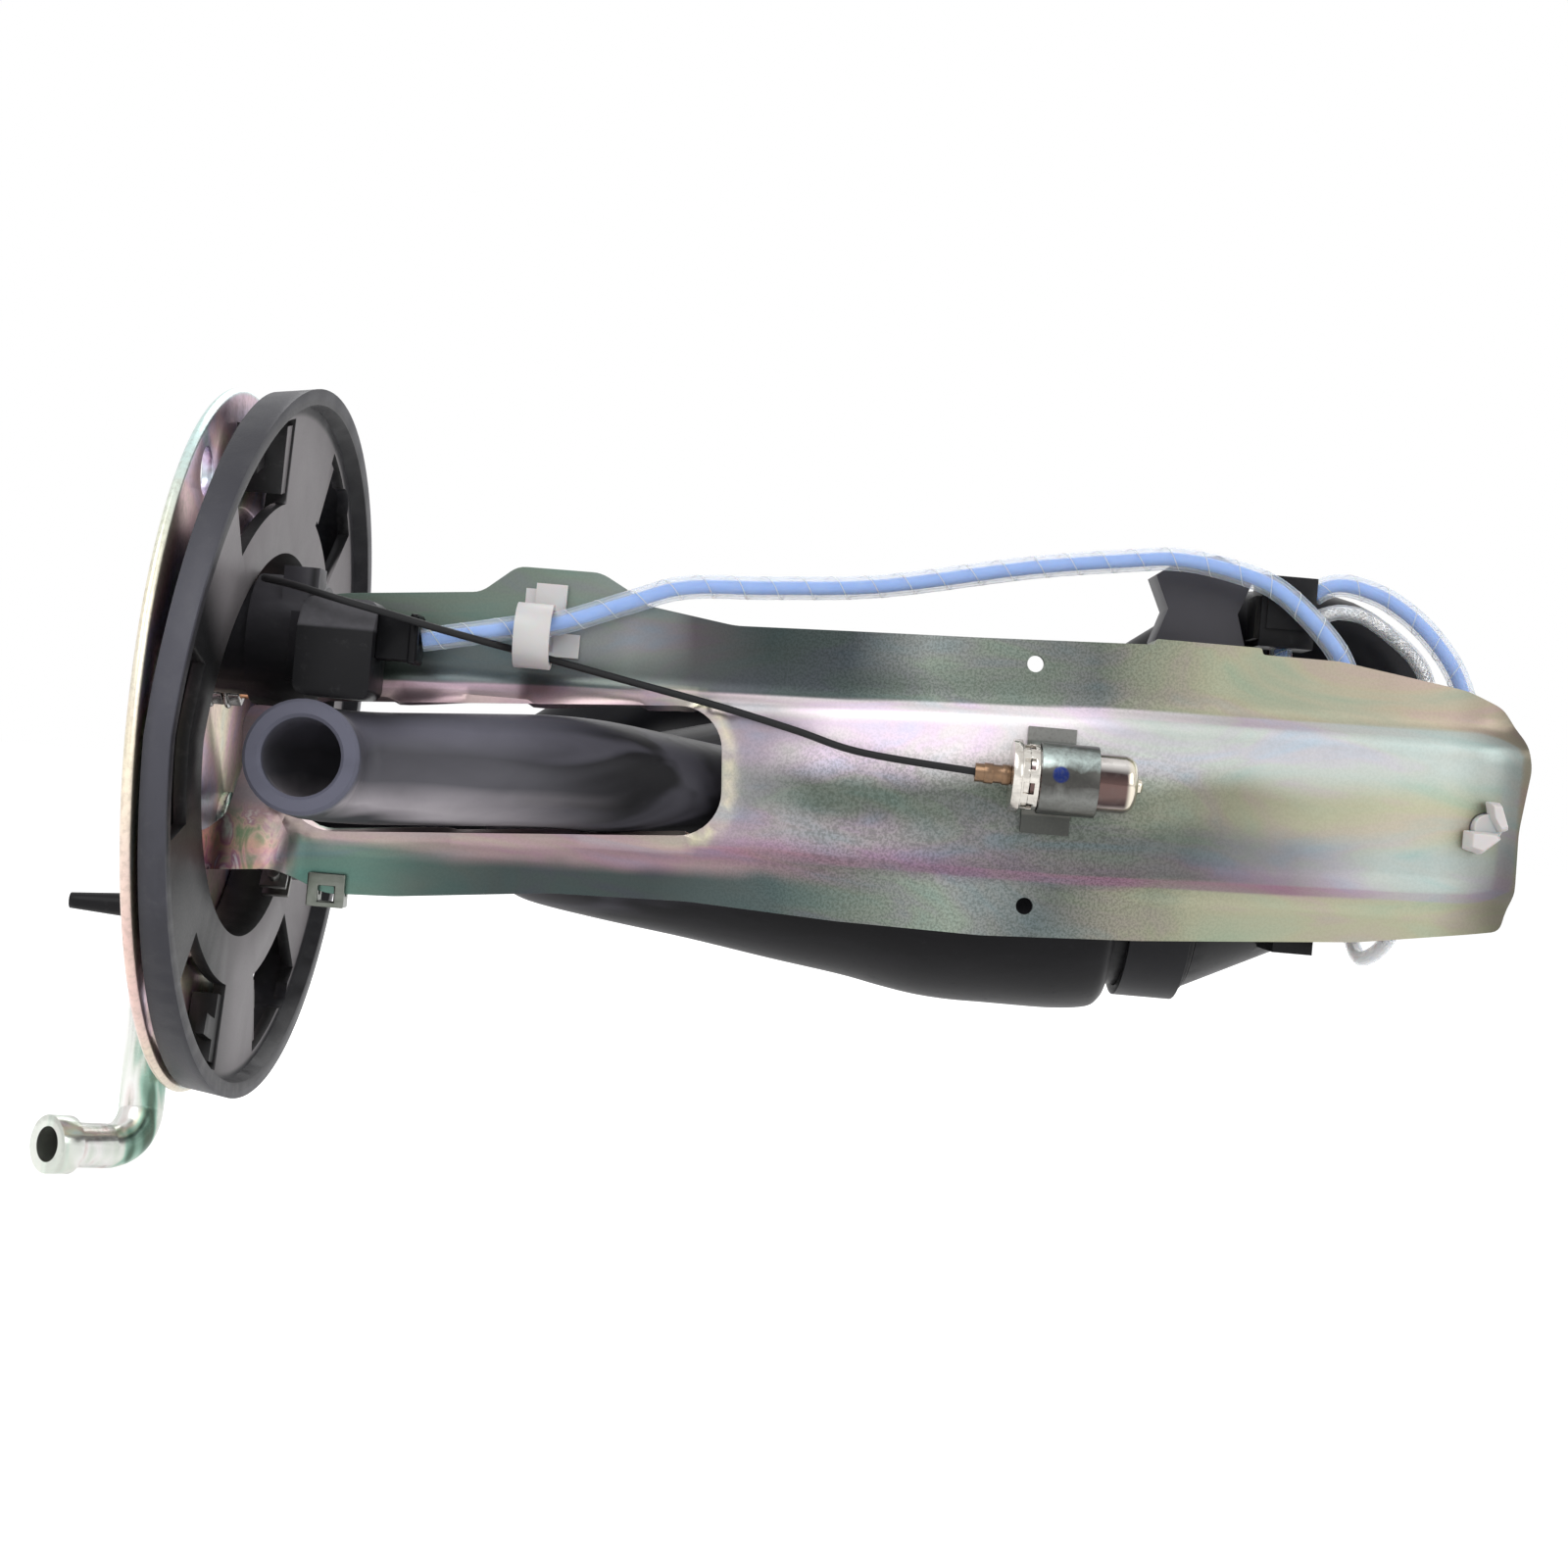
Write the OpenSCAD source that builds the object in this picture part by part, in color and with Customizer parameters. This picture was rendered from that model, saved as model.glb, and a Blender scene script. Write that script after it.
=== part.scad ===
// In-tank motorcycle fuel pump module: flange, retainer ring, stamped bracket, turbine pump in a
// moulded rubber boot, low-level sensor and leads.
// X runs along the module from the inner face of the flange, Y away from the open side, Z up.

/* [Flange] */
// Radius of the round steel cover plate
flange_r = 50; // [42:0.5:60]
// Sheet thickness of the cover plate
flange_t = 1.5; // [1:0.1:2]
// Radius of each stud hole
stud_hole_r = 3.3; // [2:0.1:4]
// Stud holes, half spacing across
stud_y = 25; // [20:0.5:28]
// Stud holes, half spacing up and down
stud_z = 35.7; // [32:0.1:38]
// Depth of the well pressed into the middle of the cover
well_d = 2; // [1:0.1:3]
// Radius of the flat bottom of the well
well_r = 31; // [30:0.5:32.5]

/* [Retainer ring] */
// Outer radius of the ring at its back edge
ring_r = 49.4; // [47:0.1:50]
// Widening of the rim for each millimetre of height
ring_flare = 0.15; // [0:0.01:0.4]
// Height of the rim front edge over the flange, on the axis
ring_h = 7.0; // [5:0.1:9]
// Slope of the front edge across the ring
ring_slope_y = 0.055; // [0:0.005:0.08]
// Slope of the front edge over the upper half
ring_slope_z = 0.08; // [0:0.005:0.1]
// Wall of the rim
ring_wall = 2.2; // [1.6:0.1:3]
// Depth of the web behind the rim edge
web_drop = 2.2; // [1:0.1:3]
// Thickness of the web
web_t = 1.7; // [1.2:0.1:2.5]
// Radius of the middle opening
ring_open_r = 27.5; // [25:0.5:29]
// Web left between the windows and the wall of the rim
win_rim = 0.6; // [0.4:0.1:4]
// Length of the four large windows from rim to hub
win_l = 12; // [8:0.5:14]

/* [Outlet pipe] */
// Outer radius of the outlet pipe
pipe_r = 3.2; // [2.8:0.1:4]
// Bore radius of the outlet pipe
pipe_bore = 2.5; // [1.8:0.1:3]
// Bend radius of the outlet pipe
pipe_bend = 6.5; // [5:0.1:6.6]
// Radius of the upset end of the outlet pipe
pipe_end_r = 4.1; // [3.6:0.1:4.6]
// Length of the upset end of the outlet pipe
pipe_end_l = 3.4; // [2:0.1:5]

/* [Terminal housing] */
// Radius of the socket boss cap
boss_r = 9.0; // [7:0.1:9.2]
// Radius of the boss where it passes the ring
boss_base_r = 7.9; // [6:0.1:8]
// Length of the box body
box_l = 10; // [8:0.1:10.4]
// Height of the box body
box_h = 13.2; // [10:0.1:13.4]
// Depth of the box body
box_d = 11.5; // [8:0.1:12]
// Radius of the ground stud
ground_r = 1.5; // [1:0.1:2]

/* [Bracket] */
// Sheet thickness of the bracket
sheet = 1.2; // [0.8:0.1:1.5]
// Front face of the two side flanges
side_y = -17; // [-18:0.1:-16.5]
// Height of the raised middle over the side flanges
rise = 2.5; // [1.5:0.1:3]
// Length of the hose slot
slot_l = 58.7; // [50:0.1:60]
// Width of the hose slot
slot_w = 17.6; // [16.4:0.1:18]
// Corner radius of the hose slot
slot_r = 6; // [4:0.1:8]
// Radius of the two small flange holes
tool_r = 1.15; // [0.8:0.05:2]
// Radius of the hole of the push clip
clip_hole_r = 2.1; // [1.5:0.1:3]

// Outer radius of the loop of the wire clip
clip_loop_r = 4.4; // [4:0.1:4.8]

/* [Suction boot] */
// Outer radius of the suction hose
hose_r = 7.6; // [6:0.1:7.9]
// Bore radius of the suction hose
hose_bore = 5.2; // [4:0.1:6]
// Largest radius of the rubber bell
bell_r = 22.8; // [21.5:0.1:23]
// Wall of the tapering part of the bell
bell_wall = 2.6; // [2:0.1:3.5]

/* [Pump] */
// Outer radius of the pump case
case_r = 18.5; // [17:0.1:19]
// Wall of the pump case
case_wall = 1.0; // [0.6:0.1:1.5]
// Pump case, end in the boot
case_x0 = 90.5; // [88:0.5:92]
// Length of the pump case
case_l = 49; // [46:0.5:50]
// Radius of the impeller
impeller_r = 14.3; // [12:0.1:14.4]
// Thickness of the impeller
impeller_t = 3.2; // [2:0.1:3.3]
// Number of impeller pockets
vanes = 20; // [12:1:28]
// Radius of the armature core
armature_r = 13.6; // [11:0.1:13.8]
// Radius of the shaft
shaft_r = 2.0; // [1.5:0.1:2.5]
// Running clearance of the shaft in its bearings
run_fit = 0.05; // [0.01:0.01:0.1]
// Clearance between parts that are pressed or pushed together
slip_fit = 0.1; // [0.05:0.01:0.3]
// Radius of the outlet check ball
ball_r = 2.3; // [2:0.1:2.5]
// Radius of the relief ball
relief_r = 1.9; // [1.5:0.1:2.1]

/* [Outlet hose] */
// Outer radius of the outlet hose
out_r = 6.6; // [6:0.1:6.8]
// Bend radius of the outlet hose over the pump end
out_bend = 12.6; // [12:0.1:13.0]
// Width of each hose clamp
clamp_w = 5; // [3:0.1:6]

/* [Sensor] */
// Radius of the sensor can
can_r = 3.9; // [3:0.1:4.2]
// Outer radius of the clip band
band_r = 4.8; // [4.5:0.1:5.2]
// Radius of the crimp ferrule
ferrule_r = 1.25; // [1:0.05:1.8]

/* [Leads] */
// Radius of the feed lead
feed_r = 0.95; // [0.6:0.05:1]
// Outer radius of the spiral wrap
wrap_r = 1.65; // [1.5:0.05:1.8]
// Bore radius of the spiral wrap
wrap_bore = 1.2; // [1.1:0.05:1.3]
// Radius of the ground lead in its tube
ground_lead_r = 1.1; // [0.8:0.05:1.3]
// Radius of the sensor lead
sensor_lead_r = 0.65; // [0.4:0.05:0.8]

/* [Hidden] */
$fn = 48;

// Pump axis
py = 8.5;
pz = -5.5;
case_x1 = case_x0 + case_l;
case_in = case_r - case_wall;
lip = 0.8;
web_y = side_y - rise;
// Boss and box of the terminal housing
boss_y = -12.5;
boss_z = 14.6;
box_x = 15;
box_y = web_y - 0.4;
box_z = 7.1;
bevel_y = 3.4;
bevel_z = 4.2;
// Ground stud and outer stub
gnd_y = -3.5;
gnd_z = 7.8;
stub_y = -13;
stub_z = -23.6;
stub_neck_r = 1.2;
stub_head_r = 2.2;
// Points of the outlet pipe, from the hose end to the open end
pipe_p = [[13, 12, -12], [-10.2, 12, -12], [-7.6, 1, -59], [-17.4, -10.6, -57.8]];
// Points of the suction hose, from the open end into the bell
hose_p = [[17.8, -36, -1], [17.8, -20.6, -2.4], [52, -19.6, 0.2], [86, 2, -4]];
// Points of the outlet hose, from the pump nozzle to the flange
noz_z = 3;
out_p = [[case_x1 + 7.3, py, noz_z], [case_x1 + 27.7, py, noz_z], [case_x1 + 27.7, py, noz_z + 26.4],
  [143, 11, 28.5], [124, 31.8, 14], [60, 31.8, 14], [26, 12, -12], [3.4, 12, -12]];
// Points of the leads
feed_p = [[30.6, -25.5, 15.8], [36.8, -24.6, 17.2], [43, -22.3, 18.8], [48.5, -21.7, 19.9],
  [57, -20, 23.4], [64.6, -18, 26.3], [76.5, -15, 27.5], [91.3, -12, 29.3], [111.5, -9.4, 33.8],
  [125, -9, 36], [132, -9, 36.8], [139, -9.4, 36], [145.6, -10, 34], [151.2, -11, 29.6], [155.4, -12, 24.5],
  [157.4, -12.2, 18], [155.2, -11, 12.5], [151, -8.6, 11.8], [148.8, -5.8, 16], [148.4, -3.6, 25.8]];
pump_p = [[152.3, -3.8, 34], [154.6, -3.7, 35.4], [158, -3.5, 35.6], [163.4, -3.5, 33.9],
  [169.1, -4.5, 29.5], [173.5, -6, 22.9], [176, -5.4, 13], [174.6, -2, 2.5], [168.5, 1.6, -6.5],
  [160.9, 2, -9.5]];
gnd_p = [[152.3, -3.8, 30.4], [154.7, -3.7, 31.5], [157, -3.5, 31.9], [160.9, -3.5, 31], [167.4, -4.4, 26],
  [169.4, -6, 20.5], [169.6, -9, 11], [168.6, -9.6, -2], [167, -4.5, -13], [165.8, 6, -17],
  [165.4, 13, -14.6], [163.8, 15.2, -10.8], [160.9, 15, -9.6]];
sens_p = [[8.2, -21.8, 22.4], [13.5, -27, 21.8], [22, -32.2, 20.6], [31.5, -30.6, 17.3],
  [38.4, -26.4, 15.5], [45, -20.7, 15.6], [52, -20.6, 14.4], [66, -21.4, 11.6], [83.7, -22.4, 6.6],
  [93, -23.4, 5.2], [106.4, -24.3, 4.7]];

function unit(v) = v / norm(v);
function seg(p, i) = unit(p[i + 1] - p[i]);
function side(d) = unit(cross(abs(d[2]) < 0.9 ? [0, 0, 1] : [1, 0, 0], d));
function turn(p, i) = acos(seg(p, i - 1) * seg(p, i));
function cut(p, i, rb) = i == 0 || i == len(p) - 1 ? 0 : rb * tan(turn(p, i) / 2);

// A column matrix from three axes and an origin
function frame(x, y, z, o) = [[x[0], y[0], z[0], o[0]], [x[1], y[1], z[1], o[1]],
  [x[2], y[2], z[2], o[2]], [0, 0, 0, 1]];

// A round bar from a to b
module rod(a, b, r) {
  d = unit(b - a);
  s = side(d);
  if (norm(b - a) > 0.02) multmatrix(frame(s, cross(d, s), d, a)) cylinder(h = norm(b - a), r = r);
}

// A straight tube from a to b
module pipe(a, b, r, q) {
  d = unit(b - a);
  s = side(d);
  if (norm(b - a) > 0.02) multmatrix(frame(s, cross(d, s), d, a)) linear_extrude(norm(b - a))
    difference() { circle(r = r); circle(r = q); }
}

// A part turn of a tube at corner i, run on a little way inside the walls of the straight tubes
module elbow(p, i, r, q, rb) {
  u = seg(p, i - 1);
  v = seg(p, i);
  n = unit(v - u * (u * v));
  o = p[i] - u * cut(p, i, rb) + n * rb;
  e = 2;
  g = 0.03;
  multmatrix(frame(-n, u, cross(-n, u), o)) rotate([0, 0, -e])
    rotate_extrude(angle = turn(p, i) + 2 * e) translate([rb, 0]) difference() {
      circle(r = r - g);
      circle(r = q + g);
    }
}

// A tube along the corner points p with bends of radius rb[i], its last span left out if open is true
module tube(p, r, q, rb, open = false) {
  for (i = [0:len(p) - (open ? 3 : 2)])
    pipe(p[i] + seg(p, i) * cut(p, i, rb[i]), p[i + 1] - seg(p, i) * cut(p, i + 1, rb[i + 1]), r, q);
  for (i = [1:len(p) - 2]) elbow(p, i, r, q, rb[i]);
}

// Catmull-Rom point between p[i] and p[i + 1]
function at(p, k) = p[max(0, min(len(p) - 1, k))];
function crp(p, i, t) = 0.5 * (2 * at(p, i) + t * (at(p, i + 1) - at(p, i - 1))
  + t * t * (2 * at(p, i - 1) - 5 * at(p, i) + 4 * at(p, i + 1) - at(p, i + 2))
  + t * t * t * (3 * at(p, i) - at(p, i - 1) - 3 * at(p, i + 1) + at(p, i + 2)));
function line(p, n) = [for (i = [0:len(p) - 2]) for (k = [0:n - 1]) crp(p, i, k / n), p[len(p) - 1]];
function tang(q, i) = unit(q[min(i + 1, len(q) - 1)] - q[max(i - 1, 0)]);
function ring(q, i, r, m, w) = let (t = tang(q, i), a = unit(cross(w, t)), b = cross(t, a))
  [for (j = [0:m - 1]) q[i] + r * (cos(360 * j / m) * a + sin(360 * j / m) * b)];

// A solid cord through the points p, n rings for each span, m sides; w is never along the cord
module cord(p, r, n, m, w = [0, 1, 0]) {
  q = line(p, n);
  c = len(q);
  polyhedron(
    points = [for (i = [0:c - 1]) each ring(q, i, r, m, w)],
    faces = concat(
      [[for (j = [0:m - 1]) j]],
      [for (i = [0:c - 2]) for (j = [0:m - 1])
        [i * m + j, (i + 1) * m + j, (i + 1) * m + (j + 1) % m, i * m + (j + 1) % m]],
      [[for (j = [m - 1:-1:0]) (c - 1) * m + j]]));
}

// A hollow cord with the bore radius rb
module sleeve(p, r, rb, n, m, w = [0, 1, 0]) {
  q = line(p, n);
  c = len(q);
  k = c * m;
  polyhedron(
    points = concat([for (i = [0:c - 1]) each ring(q, i, r, m, w)],
      [for (i = [0:c - 1]) each ring(q, i, rb, m, w)]),
    faces = concat(
      [for (i = [0:c - 2]) for (j = [0:m - 1])
        [i * m + j, (i + 1) * m + j, (i + 1) * m + (j + 1) % m, i * m + (j + 1) % m]],
      [for (i = [0:c - 2]) for (j = [0:m - 1])
        [k + i * m + j, k + i * m + (j + 1) % m, k + (i + 1) * m + (j + 1) % m, k + (i + 1) * m + j]],
      [for (j = [0:m - 1]) [j, (j + 1) % m, k + (j + 1) % m, k + j]],
      [for (j = [0:m - 1]) let (a = (c - 1) * m)
        [a + j, k + a + j, k + a + (j + 1) % m, a + (j + 1) % m]]));
}

// A coil along Z with a round wire of six sides
module coil(r, w, h, turns) {
  n = turns * 10;
  m = 6;
  polyhedron(
    points = [for (i = [0:n]) for (j = [0:m - 1]) let (a = 36 * i, s = 360 * j / m)
      [(r + w * cos(s)) * cos(a), (r + w * cos(s)) * sin(a), w + (h - 2 * w) * i / n + w * sin(s)]],
    faces = concat(
      [[for (j = [0:m - 1]) j]],
      [for (i = [0:n - 1]) for (j = [0:m - 1])
        [i * m + j, (i + 1) * m + j, (i + 1) * m + (j + 1) % m, i * m + (j + 1) % m]],
      [[for (j = [m - 1:-1:0]) n * m + j]]));
}

// A profile in Y and Z, drawn out along X from x0
module yz(x0, h) { translate([x0, 0, 0]) rotate([90, 0, 90]) linear_extrude(h) children(); }
// A profile in X and Z, drawn out along Y from y0
module xz(y0, h) { translate([0, y0 + h, 0]) rotate([90, 0, 0]) linear_extrude(h) children(); }
// A shape along Z turned to run along X from x0 at y, z
module ax(x0, y, z) { translate([x0, y, z]) rotate([0, 90, 0]) children(); }
// The same on the pump axis
module pump(x0) { ax(x0, py, pz) children(); }
// A flat rectangle with round corners
module rrect(w, h, r) {
  square([w, h - 2 * r], center = true);
  square([w - 2 * r, h], center = true);
  for (i = [-1, 1]) for (j = [-1, 1]) translate([i * (w / 2 - r), j * (h / 2 - r)]) circle(r = r);
}
// A flat ring sector from angle a to b
module sector(r1, r2, a, b) {
  intersection() {
    difference() { circle(r = r2, $fn = 96); circle(r = r1, $fn = 96); }
    m = (a + b) / 2;
    polygon([[0, 0], 80 * [cos(a), sin(a)], 90 * [cos(m), sin(m)], 80 * [cos(b), sin(b)]]);
  }
}

module flange_plate() {
  color([0.8, 0.78, 0.62]) difference() {
    rotate([0, 90, 0]) rotate_extrude($fn = 96) polygon([
      [0, -flange_t - well_d], [well_r, -flange_t - well_d], [well_r + 2.4, -flange_t],
      [flange_r - 0.5, -flange_t], [flange_r, -flange_t + 0.5],
      [flange_r, -0.5], [flange_r - 0.5, 0], [well_r + 2.4, 0], [well_r, -well_d], [0, -well_d]]);
    for (i = [-1, 1]) for (j = [-1, 1]) ax(-4, i * stud_y, j * stud_z) cylinder(h = 6, r = stud_hole_r);
    ax(-6, pipe_p[0][1], pipe_p[0][2]) cylinder(h = 8, r = pipe_r + slip_fit);
    ax(-6, boss_y, boss_z) cylinder(h = 8, r = 6.6);
    ax(-6, gnd_y, gnd_z) cylinder(h = 8, r = ground_r + slip_fit);
    ax(-6, stub_y, stub_z) cylinder(h = 8, r = stub_neck_r + slip_fit);
  }
}

// All that lies below the ring's front edge, moved by d
module under(d) {
  translate([ring_h + d, 0, 0]) {
    rotate([0, 0, -atan(ring_slope_y)]) translate([-40, -75, -75]) cube([40, 150, 150]);
    rotate([0, atan(ring_slope_z), -atan(ring_slope_y)]) translate([-40, -75, -75]) cube([40, 150, 150]);
  }
}

module retainer_ring() {
  x0 = 0.8;
  h = 14;
  r2 = ring_r - ring_wall - win_rim;
  r1 = r2 - win_l;
  color([0.2, 0.2, 0.22]) intersection() {
    union() {
      for (a = [[99.5, 104], [67, 72.5], [257, 261.5], [283, 287]])
        yz(0.3, h) sector(r1 + 1.5, r2 - 1, a[0], a[1]);
      for (a = [[103.5, 110], [61, 67.5], [251, 257.5], [286.5, 293]])
        yz(2.4, 1.8) sector(r1 + 5, r1 + 8, a[0], a[1]);
    }
    under(-web_drop - 0.4);
  }
  color([0.2, 0.2, 0.22]) difference() {
    union() {
      intersection() {
        ax(x0, 0, 0) difference() {
          cylinder(h = h, r1 = ring_r, r2 = ring_r + h * ring_flare, $fn = 96);
          translate([0, 0, -0.1]) cylinder(h = h + 0.2, r1 = ring_r - ring_wall - 0.1 * ring_flare,
            r2 = ring_r - ring_wall + (h + 0.1) * ring_flare, $fn = 96);
        }
        difference() {
          under(0);
          translate([x0, 0, 0]) rotate([0, atan(ring_slope_z), 0])
            translate([-40, -75, 0]) cube([40, 150, 75]);
        }
      }
      intersection() {
        ax(x0, 0, 0) cylinder(h = h, r1 = ring_r - 1, r2 = ring_r - 1 + h * ring_flare, $fn = 96);
        difference() { under(-web_drop); under(-web_drop - web_t); }
      }
      intersection() {
        ax(-well_d + 0.3, 0, 0) cylinder(h = h, r = ring_open_r + 2, $fn = 96);
        under(-web_drop);
      }
    }
    ax(-5, 0, 0) cylinder(h = 30, r = ring_open_r, $fn = 96);
    for (a = [[46, 71], [101, 134], [228, 260], [284, 313]]) yz(-1, 20) sector(r1, r2, a[0], a[1]);
    for (a = [[-17, 17], [163, 199]]) yz(-1, 20) sector(r1 - 0.5, r2 - 4.6, a[0], a[1]);
    for (i = [-1, 1]) for (j = [-1, 1])
      ax(-1, i * stud_y, j * stud_z) cylinder(h = 20, r = stud_hole_r + 0.9);
    ax(-3, stub_y, stub_z) cylinder(h = 2.9, r = stub_head_r + slip_fit);
  }
}

module outlet_pipe() {
  d = seg(pipe_p, 2);
  tip = pipe_p[3];
  color([0.78, 0.8, 0.72]) {
    tube(pipe_p, pipe_r, pipe_bore, [0, pipe_bend, 6, 0]);
    pipe(tip - d * pipe_end_l, tip, pipe_end_r, pipe_bore);
    ax(-well_d, pipe_p[0][1], pipe_p[0][2]) linear_extrude(1) difference() {
      circle(r = pipe_r + 1.4);
      circle(r = pipe_r - 0.4);
    }
  }
}

module outer_stub() {
  color([0.2, 0.2, 0.2]) ax(-16.4, stub_y, stub_z) {
    cylinder(h = 11.4, r1 = 1.1, r2 = 1.9);
    translate([0, 0, 11.4]) cylinder(h = 1.5, r = 2.6);
    translate([0, 0, 12.9]) cylinder(h = 1.6, r = stub_neck_r);
    translate([0, 0, 14.5]) cylinder(h = 1.2, r = stub_head_r);
  }
}

module terminal_housing() {
  color([0.16, 0.16, 0.17]) difference() {
    union() {
      ax(-8.6, boss_y, boss_z) cylinder(h = 8, r = 6.5);
      ax(-well_d, boss_y, boss_z) cylinder(h = 9.5, r = boss_base_r);
      ax(6.2, boss_y, boss_z) cylinder(h = box_x - 7.2, r = boss_r);
      ax(box_x - 1, boss_y, boss_z) cylinder(h = 1.4, r1 = boss_r, r2 = boss_r - 1.2);
      intersection() {
        xz(box_y - box_d, box_d) translate([box_x + box_l / 2, box_z + box_h / 2]) rrect(box_l, box_h, 1.6);
        yz(box_x - 1, box_l + 2) polygon([[box_y, box_z], [box_y - box_d, box_z],
          [box_y - box_d, box_z + box_h - bevel_z], [box_y - box_d + bevel_y, box_z + box_h],
          [box_y, box_z + box_h]]);
      }
      translate([box_x - 2.6, box_y - 3, box_z + 2]) cube([5, 3.2, box_h - 4]);
      translate([box_x - 4.6, box_y, box_z + 9]) cube([4.8, 5.2, 8.4]);
    }
    ax(-9, boss_y, boss_z) cylinder(h = 5.6, r = 5.2);
    for (s = [-1, 1]) translate([-4, boss_y + 2.4 * s - 1.5, boss_z - 0.5]) cube([4.2, 3, 1]);
    ax(box_x + box_l - 3, -25.5, 15.8) cylinder(h = 4, r = 2.2);
    translate(sens_p[0] + [-0.6, -0.2, -0.6]) sphere(r = 1.0);
  }
}

module socket_pins() {
  color([0.8, 0.66, 0.35]) for (s = [-1, 1])
    translate([-8, boss_y + 2.4 * s - 1.4, boss_z - 0.4]) cube([8.1, 2.8, 0.8]);
}

module lead_boot() {
  x0 = box_x + box_l;
  color([0.12, 0.12, 0.13]) difference() {
    union() {
      translate([x0, -28.6, 12.7]) cube([5.4, 6.2, 6.0]);
      translate([x0 + 4.4, -28.9, 12.4]) cube([0.8, 6.8, 6.6]);
      ax(x0 - 2.8, -25.5, 15.8) cylinder(h = 3, r = 2.1);
    }
    ax(x0 - 4, -25.5, 15.8) cylinder(h = 12, r = feed_r + slip_fit);
  }
}

module ground_stud() {
  color([0.75, 0.45, 0.25]) ax(-5.2, gnd_y, gnd_z) {
    cylinder(h = 9.7, r = ground_r);
    translate([0, 0, -1.2]) cylinder(h = 1.2, r = ground_r + 0.8);
  }
}

module stud_nuts() {
  color([0.8, 0.8, 0.8]) for (x = [-well_d, 0.5]) ax(x, gnd_y, gnd_z) difference() {
    union() {
      cylinder(h = 0.5, r = 3.1);
      translate([0, 0, 0.5]) cylinder(h = 1.7, r = 2.7, $fn = 6);
    }
    translate([0, 0, -1]) cylinder(h = 5, r = ground_r + slip_fit);
  }
}

// Outline of the bracket sheet
plate_p = [[-0.8, -12.6], [2.4, -12.2], [5.4, -9.6], [7, -2.8], [6.4, 3], [7.4, 5.4], [16.4, 5.4],
  [16.4, 21.2], [18.2, 21.6], [36.8, 23.4], [41.5, 27.3], [52.9, 27.4], [57.4, 25],
  [59.5, 23.5], [71.7, 21.8], [86.3, 22.4],
  [104.9, 23.1], [122.2, 23.9], [128.8, 24.2], [129, 25], [143.4, 25], [143.6, 24.1], [154.2, 24.1],
  [171.8, 21.6], [178, 19.3], [181, 14.4], [181.4, 9.8], [180.2, 3], [180.4, -6.3], [179.3, -10.7],
  [159.6, -13.8], [130, -16.2], [108.5, -17.3], [88.4, -17.1], [68.3, -16.2], [49.7, -16.7], [28.5, -19],
  [19.1, -19.4], [15.6, -18], [12.2, -16.6], [-0.8, -17.8]];
// Bend lines of the raised middle: upper and lower edge of the side flanges
up_p = [[12, 9.2], [74, 12.3], [123, 15.2], [183, 16.9]];
lo_p = [[-2, -12.4], [21, -11.7], [68, -9.6], [121, -9.5], [183, -7.3]];
run = 2.4;

// One sloped strip between two heights along a bend line
module strip(a, b, s) {
  hull() for (p = [a, b]) {
    translate([p[0], side_y + sheet / 2, p[1]]) cube([0.02, sheet, 0.7], center = true);
    translate([p[0], web_y + sheet / 2, p[1] + s * run]) cube([0.02, sheet, 0.7], center = true);
  }
}

// The hose slot, grown by g
module slot_shape(g) {
  translate([13 + slot_l / 2, -0.3]) rotate(4.3) rrect(slot_l + 2 * g, slot_w + 2 * g, slot_r + g);
}

module bracket() {
  color([0.72, 0.76, 0.68]) difference() {
    union() {
      intersection() {
        xz(side_y, sheet) polygon(plate_p);
        xz(side_y - 1, 5) polygon(concat(up_p, [[183, 40], [12, 40]]));
      }
      intersection() {
        xz(side_y, sheet) polygon(plate_p);
        xz(side_y - 1, 5) polygon(concat(lo_p, [[183, -40], [-2, -40]]));
      }
      intersection() {
        xz(web_y, sheet) polygon(plate_p);
        xz(web_y - 1, 5) polygon([[-2, lo_p[0][1] + run], [21, lo_p[1][1] + run], [68, lo_p[2][1] + run],
          [121, lo_p[3][1] + run], [183, lo_p[4][1] + run], [183, up_p[3][1] - run],
          [123, up_p[2][1] - run], [74, up_p[1][1] - run], [12, up_p[0][1] - run]]);
      }
      intersection() {
        xz(web_y - 1, 8) polygon(plate_p);
        union() {
          for (i = [0:2]) strip(up_p[i], up_p[i + 1], -1);
          for (i = [0:3]) strip(lo_p[i], lo_p[i + 1], 1);
        }
      }
      xz(web_y - 0.7, 1.6) intersection() {
        slot_shape(1.3);
        polygon([[8, -30], [8, 30], [90, 30], [90, -30]]);
      }
      translate([-well_d, side_y, -17.8]) cube([sheet, 9, 5.2]);
      translate([-well_d, side_y, -17.8]) cube([3, sheet, 5.2]);
      translate([179.2, web_y + 0.6, -6.6]) cube([sheet, 11.6, 19.4]);
      translate([129, side_y, 25 - sheet]) cube([14.4, -5.5 - side_y, sheet]);
    }
    xz(web_y - 3, 12) slot_shape(0);
    for (p = [[112.9, 20.2], [114.2, -12.8]])
      translate([p[0], -10, p[1]]) rotate([90, 0, 0]) cylinder(h = 20, r = tool_r);
    translate([175, -10, 3.2]) rotate([90, 0, 0]) cylinder(h = 20, r = clip_hole_r);
  }
}

module edge_clip() {
  color([0.75, 0.75, 0.68]) difference() {
    translate([16.8, side_y - 1.1, -21.2]) cube([5.1, sheet + 2.2, 4.6]);
    translate([16, side_y - 0.05, -19.5]) cube([7, sheet + 0.1, 5]);
    translate([18.3, side_y - 2, -20.5]) cube([2.2, 6, 2.2]);
  }
}

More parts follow.
